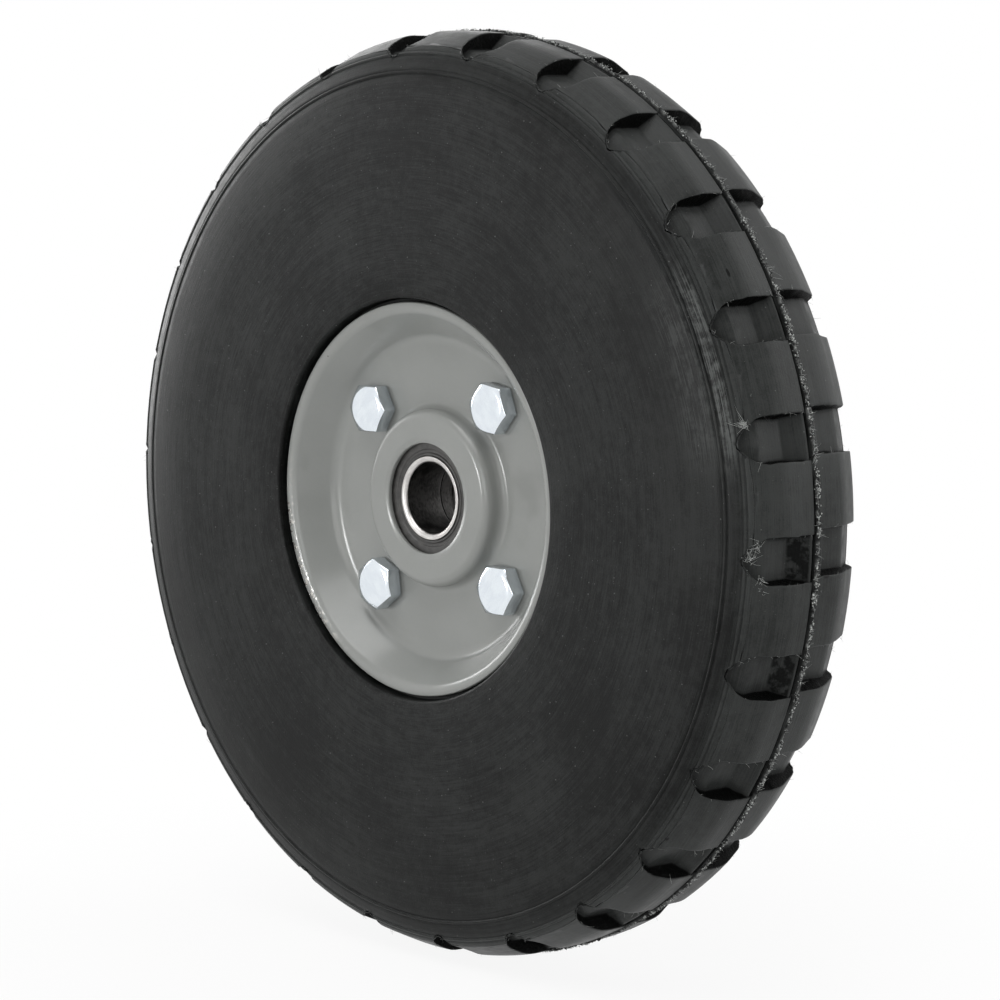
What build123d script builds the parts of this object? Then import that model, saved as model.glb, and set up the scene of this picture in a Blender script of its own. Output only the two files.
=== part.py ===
from build123d import *
import math
import os

# Solid rubber trolley wheel on two pressed steel plates, a hub tube and two ball bearings.
# Millimetres. The wheel's centre is the origin, the axle lies along Y, +Z is up.
# The near side, with the bolt heads, faces -Y. The far side, with the nuts, faces +Y.

# Tyre section: drop below the tread or radius, and distance from the wheel's middle plane
tread_radius = 130.0
crown_half_width = 10.0
shoulder_drop = 4.4
shoulder_half_width = 19.2
shoulder_rounding = 3.0
outer_bead_drop = 6.3
outer_bead_half_width = 20.4
inner_bead_drop = 11.5
inner_bead_half_width = 22.3
bead_radius = 1.2
bead_height = 0.3
sidewall_half_width = 24.3
sidewall_flat_radius = 88.0
sidewall_inner_radius = 76.0
rim_half_width = 23.9
rim_rounding = 0.8

# Tread pockets, one ring of them in each half of the tread: a strip beside the seam,
# a slope down to the floor, the floor, and a slope on down to the end.
# Near pockets close in a half circle, far ones run out straight through the shoulder.
pockets_per_side = 26
pocket_width = 12.6
pocket_draft = 5.0
seam_half_width = 0.7
strip_drop = 0.6
strip_half_width = 2.1
floor_inner_drop = 4.7
floor_inner_half_width = 6.8
floor_outer_drop = 5.0
floor_outer_half_width = 15.0
pocket_end_drop = 8.4
pocket_end_half_width = 21.1
cutter_overrun = 2.0
near_pocket_turn = 11.1
far_pocket_turn = 11.7

# Pressed steel plate: the visible face is drawn, the sheet lies behind it
sheet_thickness = 1.5
plate_opening_radius = 15.6
plate_radius = 54.75
plate_edge_half_width = 21.9
lip_radius = 52.4
lip_drop = 0.4
lip_rounding = 3.0
flange_bend_radius = 45.0
flange_rounding = 5.0
boss_height = 6.2
boss_top_rounding = 2.7
boss_foot_rounding = 2.5

# Bearings: bore 20, outside 47, width 14
bore_radius = 10.0
bearing_radius = 23.5
bearing_width = 14.0
bearing_corner = 1.25
bore_rounding = 0.9
ball_radius = 3.969
balls_per_bearing = 8
pitch_radius = 16.75
groove_radius = 4.1
inner_shoulder_radius = 14.2
inner_nose_radius = 11.75
nose_length = 1.6
outer_shoulder_radius = 19.3
seal_seat_radius = 21.0
cage_inner_radius = 15.0
cage_outer_radius = 18.5
cage_half_width = 4.8

# Seals
seal_thickness = 1.0
seal_recess = 0.3
seal_step = 0.3
seal_step_inner_radius = 12.6
seal_step_outer_radius = 13.9

# Both bearings over their outer faces, hub tube and distance ring
bearing_span = 31.4
hub_tube_wall = 1.48
tube_chamfer = 0.4
distance_ring_radius = 13.6
distance_ring_bore_clearance = 0.4

# Bolts and nuts, M8
bolt_circle_radius = 35.5
bolts = 4
bolt_turn = 48.4
bolt_diameter = 8.0
bolt_length = 35.0
bolt_end_chamfer = 0.8
across_flats = 13.0
head_height = 5.3
washer_face_height = 0.4
washer_face_radius = 5.9
nut_height = 6.5
hex_corner_drop = 0.85
hex_face_share = 0.87
head_turns = [-10.0, 0.0, -23.0, -2.0]
nut_turns = [14.0, 37.0, 5.0, 52.0]

# Clearances
seat_clearance = 0.02
seat_overlap = 0.1
thread_clearance = 0.02
bolt_hole_clearance = 0.25
rubber_hole_clearance = 0.5
rubber_gap = 0.3
recess_gap = 1.55
ball_clearance = 0.03
ball_window_clearance = 0.08
seal_clearance = 0.2
seal_seat_clearance = 0.05

# Dependent sizes
opening_half_width = bearing_span / 2 + sheet_thickness
bolt_face_half_width = opening_half_width - boss_height
web_half_width = bolt_face_half_width - sheet_thickness
bearing_centre = (bearing_span - bearing_width) / 2
recess_radius = plate_radius + recess_gap
hub_bore_radius = bearing_radius + seat_clearance
hub_tube_radius = hub_bore_radius + hub_tube_wall
boss_radius = hub_bore_radius + sheet_thickness
bolt_radius = bolt_diameter / 2
nose_start = bearing_width / 2 - nose_length
seal_seat_depth = seal_seat_radius - outer_shoulder_radius

os.makedirs("parts", exist_ok=True)


def keep(piece, name):
    """Label a finished piece and write its STEP file."""
    piece.part.label = name
    export_step(piece.part, f"parts/{name}.step")


def turns_about_axle(count, first_turn):
    """Places turned evenly about the axle; positive turns rise from +X towards +Z."""
    return [Location((0, 0, 0), (0, -first_turn - 360 / count * i, 0)) for i in range(count)]


def on_bolt_circle(axial, own_turns):
    """Places on the bolt circle at one distance along the axle, each turned by itself."""
    places = []
    for i in range(bolts):
        angle = math.radians(bolt_turn + 360 / bolts * i)
        x = bolt_circle_radius * math.cos(angle)
        z = bolt_circle_radius * math.sin(angle)
        places.append(Location((x, axial, z), (0, -own_turns[i], 0)))
    return places


# Tread pockets at the +X side: an outline cut down to one floor section for both halves,
# which rises again to the strip beside the mould seam
run_out_half_width = sidewall_half_width + cutter_overrun
end_slope = (pocket_end_drop - floor_outer_drop) / (pocket_end_half_width - floor_outer_half_width)
run_out_drop = floor_outer_drop + end_slope * (run_out_half_width - floor_outer_half_width)
pocket_straight = pocket_end_half_width - pocket_width / 2
cutter_top = tread_radius + cutter_overrun
cutter_round = pocket_width / 2 + cutter_overrun * math.tan(math.radians(pocket_draft))
cutter_depth = cutter_overrun + run_out_drop + cutter_overrun
with BuildSketch(Plane.XY) as pocket_section:
    with BuildLine():
        Polyline(
            (cutter_top, seam_half_width),
            (tread_radius - strip_drop, seam_half_width),
            (tread_radius - strip_drop, strip_half_width),
            (tread_radius - floor_inner_drop, floor_inner_half_width),
            (tread_radius - floor_outer_drop, floor_outer_half_width),
            (tread_radius - run_out_drop, run_out_half_width),
            (cutter_top, run_out_half_width),
            close=True,
        )
    make_face()

with BuildPart() as round_pocket:
    with BuildSketch(Plane.YZ.offset(cutter_top)):
        with Locations((pocket_straight / 2, 0)):
            Rectangle(pocket_straight, 2 * cutter_round)
        with Locations((pocket_straight, 0)):
            Circle(cutter_round)
    extrude(amount=-cutter_depth, taper=pocket_draft)
    extrude(pocket_section.sketch, amount=pocket_width, both=True, mode=Mode.INTERSECT)

with BuildPart() as near_pocket:
    add(round_pocket.part)
    mirror(about=Plane.XZ, mode=Mode.REPLACE)

with BuildPart() as far_pocket:
    with BuildSketch(Plane.YZ.offset(cutter_top)):
        with Locations((run_out_half_width / 2, 0)):
            Rectangle(run_out_half_width, 2 * cutter_round)
    extrude(amount=-cutter_depth, taper=pocket_draft)
    extrude(pocket_section.sketch, amount=pocket_width, both=True, mode=Mode.INTERSECT)

# Hidden side of the plate as the rubber meets it: flat contact under the bolts,
# a gap along the flange's slope and under its lip
lip_half_width = plate_edge_half_width - lip_drop
slope = math.atan2(lip_half_width - bolt_face_half_width, lip_radius - flange_bend_radius)
behind = sheet_thickness + rubber_gap
lip_seat_half_width = lip_half_width - behind


def slope_radius(half_width):
    """Radius at which the rubber's slope behind the flange reaches a distance from the middle plane."""
    along = (half_width - bolt_face_half_width + behind * math.cos(slope)) / math.sin(slope)
    return flange_bend_radius + behind * math.sin(slope) + along * math.cos(slope)


# Two fine beads ring the shoulder: each is the cap of a circle sunk in the section
shoulder = (tread_radius - shoulder_drop, shoulder_half_width)
outer_bead = (tread_radius - outer_bead_drop, outer_bead_half_width)
inner_bead = (tread_radius - inner_bead_drop, inner_bead_half_width)
band_turn = math.atan2(inner_bead[1] - outer_bead[1], outer_bead[0] - inner_bead[0])
bead_sink = bead_radius - bead_height
bead_centres = [
    (radius - bead_sink * math.sin(band_turn), half_width - bead_sink * math.cos(band_turn))
    for radius, half_width in (outer_bead, inner_bead)
]

# Tyre: half section from the middle plane outwards, mirrored and turned about the axle
with BuildPart() as tyre:
    with BuildSketch(Plane.XY) as tyre_section:
        with BuildLine():
            Polyline(
                (hub_tube_radius + seat_clearance, 0),
                (tread_radius, 0),
                (tread_radius, crown_half_width),
                shoulder,
                outer_bead,
                inner_bead,
            )
            TangentArc((sidewall_flat_radius, sidewall_half_width), inner_bead, tangent=(1, 0))
            Polyline(
                (sidewall_flat_radius, sidewall_half_width),
                (sidewall_inner_radius, sidewall_half_width),
                (recess_radius, rim_half_width),
                (recess_radius, lip_seat_half_width),
                (slope_radius(lip_seat_half_width), lip_seat_half_width),
                (slope_radius(web_half_width), web_half_width),
                (hub_tube_radius + seat_clearance, web_half_width),
                (hub_tube_radius + seat_clearance, 0),
            )
        make_face()
        corners = tyre_section.vertices()
        fillet(corners.sort_by_distance(shoulder)[0], shoulder_rounding)
        corners = tyre_section.vertices()
        fillet(corners.sort_by_distance((recess_radius, rim_half_width))[0], rim_rounding)
        with Locations(*bead_centres):
            Circle(bead_radius)
        mirror(about=Plane.XZ)
    revolve(axis=Axis.Y)
    with Locations(*turns_about_axle(pockets_per_side, near_pocket_turn)):
        add(near_pocket.part, mode=Mode.SUBTRACT)
    with Locations(*turns_about_axle(pockets_per_side, far_pocket_turn)):
        add(far_pocket.part, mode=Mode.SUBTRACT)
    with BuildSketch(Plane.XZ):
        with PolarLocations(bolt_circle_radius, bolts, start_angle=bolt_turn):
            Circle(bolt_radius + rubber_hole_clearance)
    extrude(amount=sidewall_half_width, both=True, mode=Mode.SUBTRACT)
keep(tyre, "tyre")


# Plates: one pressing, used on both sides; its boss is drawn over the bearing
with BuildPart() as far_plate:
    with BuildSketch(Plane.XY):
        with BuildLine():
            FilletPolyline(
                (plate_opening_radius, opening_half_width),
                (boss_radius, opening_half_width),
                (boss_radius, bolt_face_half_width),
                (flange_bend_radius, bolt_face_half_width),
                (lip_radius, lip_half_width),
                (plate_radius, plate_edge_half_width),
                radius=[boss_top_rounding, boss_foot_rounding, flange_rounding, lip_rounding],
            )
            offset(amount=sheet_thickness, side=Side.RIGHT)
        make_face()
    revolve(axis=Axis.Y)
    with BuildSketch(Plane.XZ):
        with PolarLocations(bolt_circle_radius, bolts, start_angle=bolt_turn):
            Circle(bolt_radius + bolt_hole_clearance)
    extrude(amount=sidewall_half_width, both=True, mode=Mode.SUBTRACT)
keep(far_plate, "far_plate")

with BuildPart() as near_plate:
    add(far_plate.part)
    mirror(about=Plane.XZ, mode=Mode.REPLACE)
keep(near_plate, "near_plate")


# Hub tube round both bearings: it ends where the hidden side of the bosses' feet curves inwards
hidden_foot_rounding = boss_foot_rounding + sheet_thickness
tube_to_foot = boss_radius + boss_foot_rounding - hub_tube_radius
tube_drop = math.sqrt(hidden_foot_rounding**2 - tube_to_foot**2)
hub_length = 2 * (bolt_face_half_width + boss_foot_rounding - tube_drop)
with BuildPart() as hub_tube:
    with BuildSketch(Plane.XY) as hub_tube_section:
        with Locations(((hub_bore_radius + hub_tube_radius) / 2, 0)):
            Rectangle(hub_tube_radius - hub_bore_radius, hub_length)
        chamfer(hub_tube_section.vertices().group_by(Axis.X)[-1], tube_chamfer)
    revolve(axis=Axis.Y)
keep(hub_tube, "hub_tube")


# Distance ring between the inner rings; its bore is a little wider than theirs
distance_ring_bore = bore_radius + distance_ring_bore_clearance
with BuildPart() as distance_ring:
    with BuildSketch(Plane.XY):
        with Locations(((distance_ring_bore + distance_ring_radius) / 2, 0)):
            Rectangle(distance_ring_radius - distance_ring_bore, bearing_span - 2 * bearing_width)
    revolve(axis=Axis.Y)
keep(distance_ring, "distance_ring")


# Bearings: each section is drawn at its bearing's own place along the axle
track_shift = groove_radius - ball_radius - ball_clearance
for side, centre in (("near", -bearing_centre), ("far", bearing_centre)):
    with BuildPart() as inner_ring:
        with BuildSketch(Plane.XY.move(Location((0, centre, 0)))) as inner_section:
            with Locations(((bore_radius + inner_nose_radius) / 2, 0)):
                Rectangle(inner_nose_radius - bore_radius, bearing_width)
            fillet(inner_section.vertices().group_by(Axis.X)[0], bore_rounding)
            with Locations(((inner_nose_radius + inner_shoulder_radius) / 2 - seat_overlap, 0)):
                Rectangle(inner_shoulder_radius - inner_nose_radius + 2 * seat_overlap, 2 * nose_start)
            with Locations((pitch_radius + track_shift, 0)):
                Circle(groove_radius, mode=Mode.SUBTRACT)
        revolve(axis=Axis.Y)
    keep(inner_ring, f"{side}_inner_ring")

    with BuildPart() as outer_ring:
        with BuildSketch(Plane.XY.move(Location((0, centre, 0)))) as outer_section:
            with Locations(((outer_shoulder_radius + bearing_radius) / 2, 0)):
                Rectangle(bearing_radius - outer_shoulder_radius, bearing_width)
            chamfer(outer_section.vertices().group_by(Axis.X)[-1], bearing_corner)
            for face_offset in (bearing_width / 2, -bearing_width / 2):
                with Locations((outer_shoulder_radius, face_offset)):
                    Rectangle(2 * seal_seat_depth, 2 * nose_length, mode=Mode.SUBTRACT)
            with Locations((pitch_radius - track_shift, 0)):
                Circle(groove_radius, mode=Mode.SUBTRACT)
        revolve(axis=Axis.Y)
    keep(outer_ring, f"{side}_outer_ring")

    with BuildPart() as cage:
        with BuildSketch(Plane.XY.move(Location((0, centre, 0)))):
            with Locations(((cage_inner_radius + cage_outer_radius) / 2, 0)):
                Rectangle(cage_outer_radius - cage_inner_radius, 2 * cage_half_width)
        revolve(axis=Axis.Y)
        windows = [Location((0, centre, 0)) * place for place in turns_about_axle(balls_per_bearing, 0)]
        with Locations(*windows):
            Cylinder(
                ball_radius + ball_window_clearance,
                cage_outer_radius + cutter_overrun,
                rotation=(0, 90, 0),
                align=(Align.CENTER, Align.CENTER, Align.MIN),
                mode=Mode.SUBTRACT,
            )
    keep(cage, f"{side}_cage")

    for i in range(balls_per_bearing):
        angle = math.radians(360 / balls_per_bearing * i)
        with BuildPart() as ball:
            with Locations((pitch_radius * math.cos(angle), centre, pitch_radius * math.sin(angle))):
                Sphere(ball_radius)
        keep(ball, f"{side}_ball_{i + 1}")

    for facing, direction in (("outer", math.copysign(1, centre)), ("inner", -math.copysign(1, centre))):
        face = centre + direction * (bearing_width / 2 - seal_recess)
        back = face - direction * seal_thickness
        step = face - direction * seal_step
        seal_bore = inner_nose_radius + seal_clearance
        seal_radius = seal_seat_radius - seal_seat_clearance
        with BuildPart() as seal:
            with BuildSketch(Plane.XY):
                with BuildLine():
                    Polyline(
                        (seal_bore, face),
                        (seal_step_inner_radius, face),
                        (seal_step_inner_radius, step),
                        (seal_step_outer_radius, step),
                        (seal_step_outer_radius, face),
                        (seal_radius, face),
                        (seal_radius, back),
                        (seal_bore, back),
                        close=True,
                    )
                make_face()
            revolve(axis=Axis.Y)
        keep(seal, f"{side}_{facing}_seal")


# One hexagon bolt along Y: the head's seat at the origin, the head towards -Y
corner_radius = across_flats / 2 / math.cos(math.pi / 6)
with BuildPart() as bolt:
    with BuildSketch(Plane.XZ):
        RegularPolygon(across_flats / 2, 6, major_radius=False)
    extrude(amount=head_height)
    with BuildSketch(Plane.XY):
        with BuildLine():
            Polyline(
                (0, 0),
                (washer_face_radius, 0),
                (washer_face_radius, -washer_face_height),
                (corner_radius, -washer_face_height),
                (corner_radius, -head_height + hex_corner_drop),
                (across_flats / 2 * hex_face_share, -head_height),
                (0, -head_height),
                close=True,
            )
        make_face()
    revolve(axis=Axis.Y, mode=Mode.INTERSECT)
    with BuildSketch(Plane.XY) as shank_section:
        with Locations((bolt_radius / 2, bolt_length / 2)):
            Rectangle(bolt_radius, bolt_length)
        chamfer(shank_section.vertices().group_by(Axis.Y)[-1].sort_by(Axis.X)[-1], bolt_end_chamfer)
    revolve(axis=Axis.Y)

with BuildPart() as hex_bolts:
    with Locations(*on_bolt_circle(-bolt_face_half_width, head_turns)):
        add(bolt.part)
keep(hex_bolts, "hex_bolts")


# One nut along Y: its seat at the origin, chamfered on both faces
with BuildPart() as nut:
    with BuildSketch(Plane.XZ):
        RegularPolygon(across_flats / 2, 6, major_radius=False)
        Circle(bolt_radius + thread_clearance, mode=Mode.SUBTRACT)
    extrude(amount=-nut_height)
    with BuildSketch(Plane.XY):
        with BuildLine():
            Polyline(
                (0, 0),
                (across_flats / 2 * hex_face_share, 0),
                (corner_radius, hex_corner_drop),
                (corner_radius, nut_height - hex_corner_drop),
                (across_flats / 2 * hex_face_share, nut_height),
                (0, nut_height),
                close=True,
            )
        make_face()
    revolve(axis=Axis.Y, mode=Mode.INTERSECT)

with BuildPart() as hex_nuts:
    with Locations(*on_bolt_circle(bolt_face_half_width, nut_turns)):
        add(nut.part)
keep(hex_nuts, "hex_nuts")
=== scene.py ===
import logging
import math
from dataclasses import dataclass, field
from enum import Enum
from functools import cached_property, reduce

import bpy
import numpy as np
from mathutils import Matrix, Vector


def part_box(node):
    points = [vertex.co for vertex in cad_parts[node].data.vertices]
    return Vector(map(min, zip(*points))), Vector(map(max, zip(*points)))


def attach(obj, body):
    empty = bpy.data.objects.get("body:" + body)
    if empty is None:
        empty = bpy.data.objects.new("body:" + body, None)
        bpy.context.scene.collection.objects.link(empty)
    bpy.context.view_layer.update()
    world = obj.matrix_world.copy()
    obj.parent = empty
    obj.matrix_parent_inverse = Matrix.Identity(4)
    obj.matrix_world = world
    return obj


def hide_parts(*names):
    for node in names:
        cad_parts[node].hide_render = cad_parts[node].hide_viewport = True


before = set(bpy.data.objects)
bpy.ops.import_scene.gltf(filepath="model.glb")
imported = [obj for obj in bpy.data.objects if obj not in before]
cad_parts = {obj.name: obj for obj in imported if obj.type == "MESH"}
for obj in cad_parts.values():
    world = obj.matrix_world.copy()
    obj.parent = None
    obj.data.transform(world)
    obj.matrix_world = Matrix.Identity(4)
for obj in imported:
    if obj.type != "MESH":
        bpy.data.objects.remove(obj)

# Rubber trolley wheel: tyre, mould flash, pressed plates, bolts, nuts and bearings.
# Shapes are worked out in millimetres in the wheel's frame: axle along Y, near side -Y, +Z up.
# Angles about the axle rise from +X towards +Z.

MM = 0.001
LOG = logging.getLogger("trolley_wheel")

Array = np.ndarray
Colour = tuple[float, ...]
Material = bpy.types.Material
Piece = bpy.types.Object
Socket = bpy.types.NodeSocket


class Side(Enum):
    """The two sides of the wheel, by the sign of Y."""

    NEAR = -1
    FAR = 1


def box_mm(node: str) -> tuple[Array, Array]:
    """Give the lowest and highest corner of a frame node in millimetres."""
    low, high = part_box(node)
    return np.array(low) / MM, np.array(high) / MM


def around(radius: Array | float, angle: Array | float, axial: Array | float) -> Array:
    """Turn radius, angle about the axle and axial place into points.

    Args:
        radius: distance from the axle's line.
        angle: angle about the axle in radians.
        axial: place along the axle.

    Returns:
        Points with x = radius * cos(angle), y = axial, z = radius * sin(angle).
    """
    radius, angle, axial = np.broadcast_arrays(radius, angle, axial)
    return np.stack([radius * np.cos(angle), axial, radius * np.sin(angle)], axis=-1)


def directions(angle: Array) -> tuple[Array, Array]:
    """Give the unit directions outwards and onwards round the axle at each angle."""
    return around(1.0, angle, 0.0), around(1.0, angle + np.pi / 2, 0.0)


def unit(vectors: Array) -> Array:
    """Scale vectors to length 1 along their last axis."""
    return vectors / np.linalg.norm(vectors, axis=-1, keepdims=True)


def wander(position: Array, waves: tuple[float, ...], seed: int, copies: int = 1) -> Array:
    """Work out a smooth random wave that repeats after one whole turn.

    Formula: the mean of sines at the given whole numbers of waves, each with a random phase and strength.

    Args:
        position: places from 0 to 1 along the turn.
        waves: whole numbers of waves in one turn.
        seed: seed of the random phases.
        copies: how many independent waves to make.

    Returns:
        Values of about -1 to 1, with one row for each copy.
    """
    chance = np.random.default_rng(seed)
    phase = chance.uniform(0, 2 * np.pi, (copies, len(waves), 1))
    strength = chance.uniform(0.5, 1.0, (copies, len(waves), 1))
    count = np.array(waves)[None, :, None]
    total = strength * np.sin(2 * np.pi * count * position[None, None, :] + phase)
    return total.sum(axis=1) / math.sqrt(len(waves))


def rounded(corners: list[tuple[float, float, float]], steps: int = 6) -> Array:
    """Work out an open outline with rounded corners.

    Formula: at each inner corner the two runs are joined by an arc that touches both, sampled at even angles.

    Args:
        corners: (first, second, rounding radius) of each corner; the radius at the ends isn't used.
        steps: number of steps along each arc.

    Returns:
        Points of the outline, shape (n, 2).
    """
    places = np.array([corner[:2] for corner in corners], float)
    parts = [places[:1]]
    for before, here, after, corner in zip(places, places[1:], places[2:], corners[1:]):
        radius = corner[2]
        back, ahead = unit(before - here), unit(after - here)
        half = math.acos(np.clip(back @ ahead, -1, 1)) / 2
        if radius <= 0 or half > math.radians(89.9):
            parts.append(here[None])
            continue
        centre = here + unit(back + ahead) * radius / math.sin(half)
        start = here + back * radius / math.tan(half) - centre
        end = here + ahead * radius / math.tan(half) - centre
        turn = math.pi - 2 * half
        share = np.linspace(0, 1, steps + 1)[:, None]
        parts.append(centre + (np.sin((1 - share) * turn) * start + np.sin(share * turn) * end) / math.sin(turn))
    parts.append(places[-1:])
    return np.concatenate(parts)


def divided(outline: Array, longest: float) -> Array:
    """Add points along an outline so that no step is longer than a given length.

    Args:
        outline: points, shape (n, 2).
        longest: greatest length of a step.

    Returns:
        The outline with the points added and its own points kept.
    """
    steps = np.maximum(1, np.ceil(np.linalg.norm(np.diff(outline, axis=0), axis=1) / longest).astype(int))
    start = np.repeat(outline[:-1], steps, axis=0)
    run = np.repeat(np.diff(outline, axis=0), steps, axis=0)
    first = np.repeat(np.cumsum(steps) - steps, steps)
    share = (np.arange(steps.sum()) - first) / np.repeat(steps, steps)
    return np.concatenate([start + run * share[:, None], outline[-1:]])


class Patchwork:
    """Collects surface patches, welds them where they meet and makes one object."""

    def __init__(self) -> None:
        """Start with no patch."""
        self.points: list[Array] = []
        self.quads: list[Array] = []
        self.values: dict[str, list[Array]] = {}
        self.total = 0

    def add(self, grid: Array, flip: bool = False, **values: Array | float) -> None:
        """Add a grid of points as a patch of quads.

        Args:
            grid: places in millimetres, shape (..., rows, columns, 3). Leading axes are separate patches.
            flip: True where the grid's winding points inwards.
            values: numbers to keep on the points, each of the grid's shape or one number.
        """
        rows, columns = grid.shape[-3:-1]
        patches = grid.reshape(-1, rows, columns, 3)
        index = np.arange(patches.shape[0] * rows * columns).reshape(-1, rows, columns) + self.total
        corners = [index[:, :-1, :-1], index[:, 1:, :-1], index[:, 1:, 1:], index[:, :-1, 1:]]
        quads = np.stack(corners[::-1] if flip else corners, axis=-1).reshape(-1, 4)
        self.points.append(patches.reshape(-1, 3))
        self.quads.append(quads)
        for name, value in values.items():
            full = np.broadcast_to(value, grid.shape[:-1]).reshape(-1)
            self.values.setdefault(name, []).append(full.astype(float))
        self.total += patches.shape[0] * rows * columns

    def build(self, name: str, smooth: bool = True) -> Piece:
        """Weld the patches and make the object.

        Args:
            name: the object's name.
            smooth: True for smooth shading.

        Returns:
            The new object, at the origin, with its place in its mesh.
        """
        points = np.concatenate(self.points)
        keys = np.round(points, 4) + 0.0
        _, first, welded = np.unique(keys, axis=0, return_index=True, return_inverse=True)
        quads = welded.reshape(-1)[np.concatenate(self.quads)]
        same = quads == np.roll(quads, -1, axis=1)
        whole = quads[~same.any(axis=1)]
        pinched = quads[same.sum(axis=1) == 1]
        keep = ~same[same.sum(axis=1) == 1]
        triangles = pinched[keep].reshape(-1, 3)
        mesh = bpy.data.meshes.new(name)
        mesh.vertices.add(len(first))
        mesh.vertices.foreach_set("co", (points[first] * MM).astype(np.float32).ravel())
        mesh.loops.add(whole.size + triangles.size)
        mesh.loops.foreach_set("vertex_index", np.concatenate([whole.ravel(), triangles.ravel()]).astype(np.int32))
        mesh.polygons.add(len(whole) + len(triangles))
        sizes = np.concatenate([np.full(len(whole), 4), np.full(len(triangles), 3)])
        mesh.polygons.foreach_set("loop_start", (np.cumsum(sizes) - sizes).astype(np.int32))
        mesh.polygons.foreach_set("use_smooth", np.full(len(sizes), smooth))
        mesh.update(calc_edges=True)
        mesh.validate()
        for key, parts in self.values.items():
            layer = mesh.attributes.new(key, "FLOAT", "POINT")
            layer.data.foreach_set("value", np.concatenate(parts)[first].astype(np.float32))
        piece = bpy.data.objects.new(name, mesh)
        bpy.context.scene.collection.objects.link(piece)
        return piece


def revolved(outline: Array, columns: int) -> Patchwork:
    """Carry a closed outline round the axle.

    Formula: each outline point (radius, axial) sweeps a full circle, so the surface is radius * (cos, sin) of the
    angle at its axial place.

    Args:
        outline: (radius, axial) points, last equal to first for a closed section.
        columns: number of steps round the axle.

    Returns:
        The patchwork that holds the surface.
    """
    angle = np.linspace(0, 2 * np.pi, columns + 1)
    cloth = Patchwork()
    grid = around(outline[:, None, 0], angle[None, :], outline[:, None, 1])
    area = np.sum(outline[:-1, 0] * outline[1:, 1] - outline[1:, 0] * outline[:-1, 1])
    cloth.add(grid, flip=area < 0)
    return cloth


class Nodes:
    """Adds and links shader nodes in one tree."""

    def __init__(self, tree: bpy.types.NodeTree) -> None:
        """Keep the tree, emptied."""
        self.tree = tree
        self.tree.nodes.clear()

    def add(self, kind: str, **inputs: object) -> bpy.types.Node:
        """Add a node and put values or sockets to its inputs, by name with underscores for spaces.

        Args:
            kind: the node's type, without the ShaderNode before it.
            inputs: values or sockets for its inputs.

        Returns:
            The new node.
        """
        node = self.tree.nodes.new("ShaderNode" + kind)
        for name, value in inputs.items():
            self.put(node.inputs[name.replace("_", " ")], value)
        return node

    def put(self, socket: Socket, value: object) -> None:
        """Link a socket to another socket, or set it to a plain value.

        Args:
            socket: the input.
            value: a socket to link to it, or a plain value.
        """
        if isinstance(value, Socket):
            self.tree.links.new(value, socket)
        else:
            socket.default_value = value

    def math(self, operation: str, first: object, second: object = 0.0) -> Socket:
        """Add a Math node and return its result.

        Args:
            operation: the operation, by Blender's name.
            first: first number or socket.
            second: second number or socket, left at 0 where the operation takes one.

        Returns:
            The result.
        """
        node = self.add("Math")
        node.operation = operation
        self.put(node.inputs[0], first)
        self.put(node.inputs[1], second)
        return node.outputs[0]

    def plus(self, *parts: object) -> Socket:
        """Add up all parts, from the first to the last."""
        return reduce(lambda total, part: self.math("ADD", total, part), parts)

    def times(self, *parts: object) -> Socket:
        """Multiply all parts, from the first to the last."""
        return reduce(lambda total, part: self.math("MULTIPLY", total, part), parts)

    def weighted(self, *pairs: tuple[Socket, float]) -> Socket:
        """Add up parts, each times its own weight."""
        return self.plus(*[self.times(part, weight) for part, weight in pairs])

    def split(self, vector: Socket) -> tuple[Socket, ...]:
        """Give a vector's x, y and z."""
        return tuple(self.add("SeparateXYZ", Vector=vector).outputs)

    def span(self, value: object, low: float, high: float, start: object = 0.0, end: object = 1.0,
             smooth: bool = True) -> Socket:
        """Map a value from low..high to start..end and clamp it, on a smooth step or a straight line.

        Args:
            value: number or socket to map.
            low: value that becomes start.
            high: value that becomes end.
            start: result at low and on its far side.
            end: result at high and on its far side.
            smooth: True for a smooth step, False for a straight line.

        Returns:
            The mapped value.
        """
        node = self.add("MapRange")
        node.interpolation_type = "SMOOTHSTEP" if smooth else "LINEAR"
        for socket, item in zip(node.inputs, (value, low, high, start, end)):
            self.put(socket, item)
        return node.outputs[0]

    def place(self) -> Socket:
        """Return the object coordinates."""
        return self.add("TexCoord").outputs["Object"]

    def mirrored(self) -> Socket:
        """Return 1 on rays that see by gloss or through glass."""
        path = self.add("LightPath").outputs
        return self.math("MAXIMUM", path["Is Glossy Ray"], path["Is Transmission Ray"])

    def seen(self) -> Socket:
        """Return 1 on the camera's own rays."""
        return self.add("LightPath").outputs["Is Camera Ray"]


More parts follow.
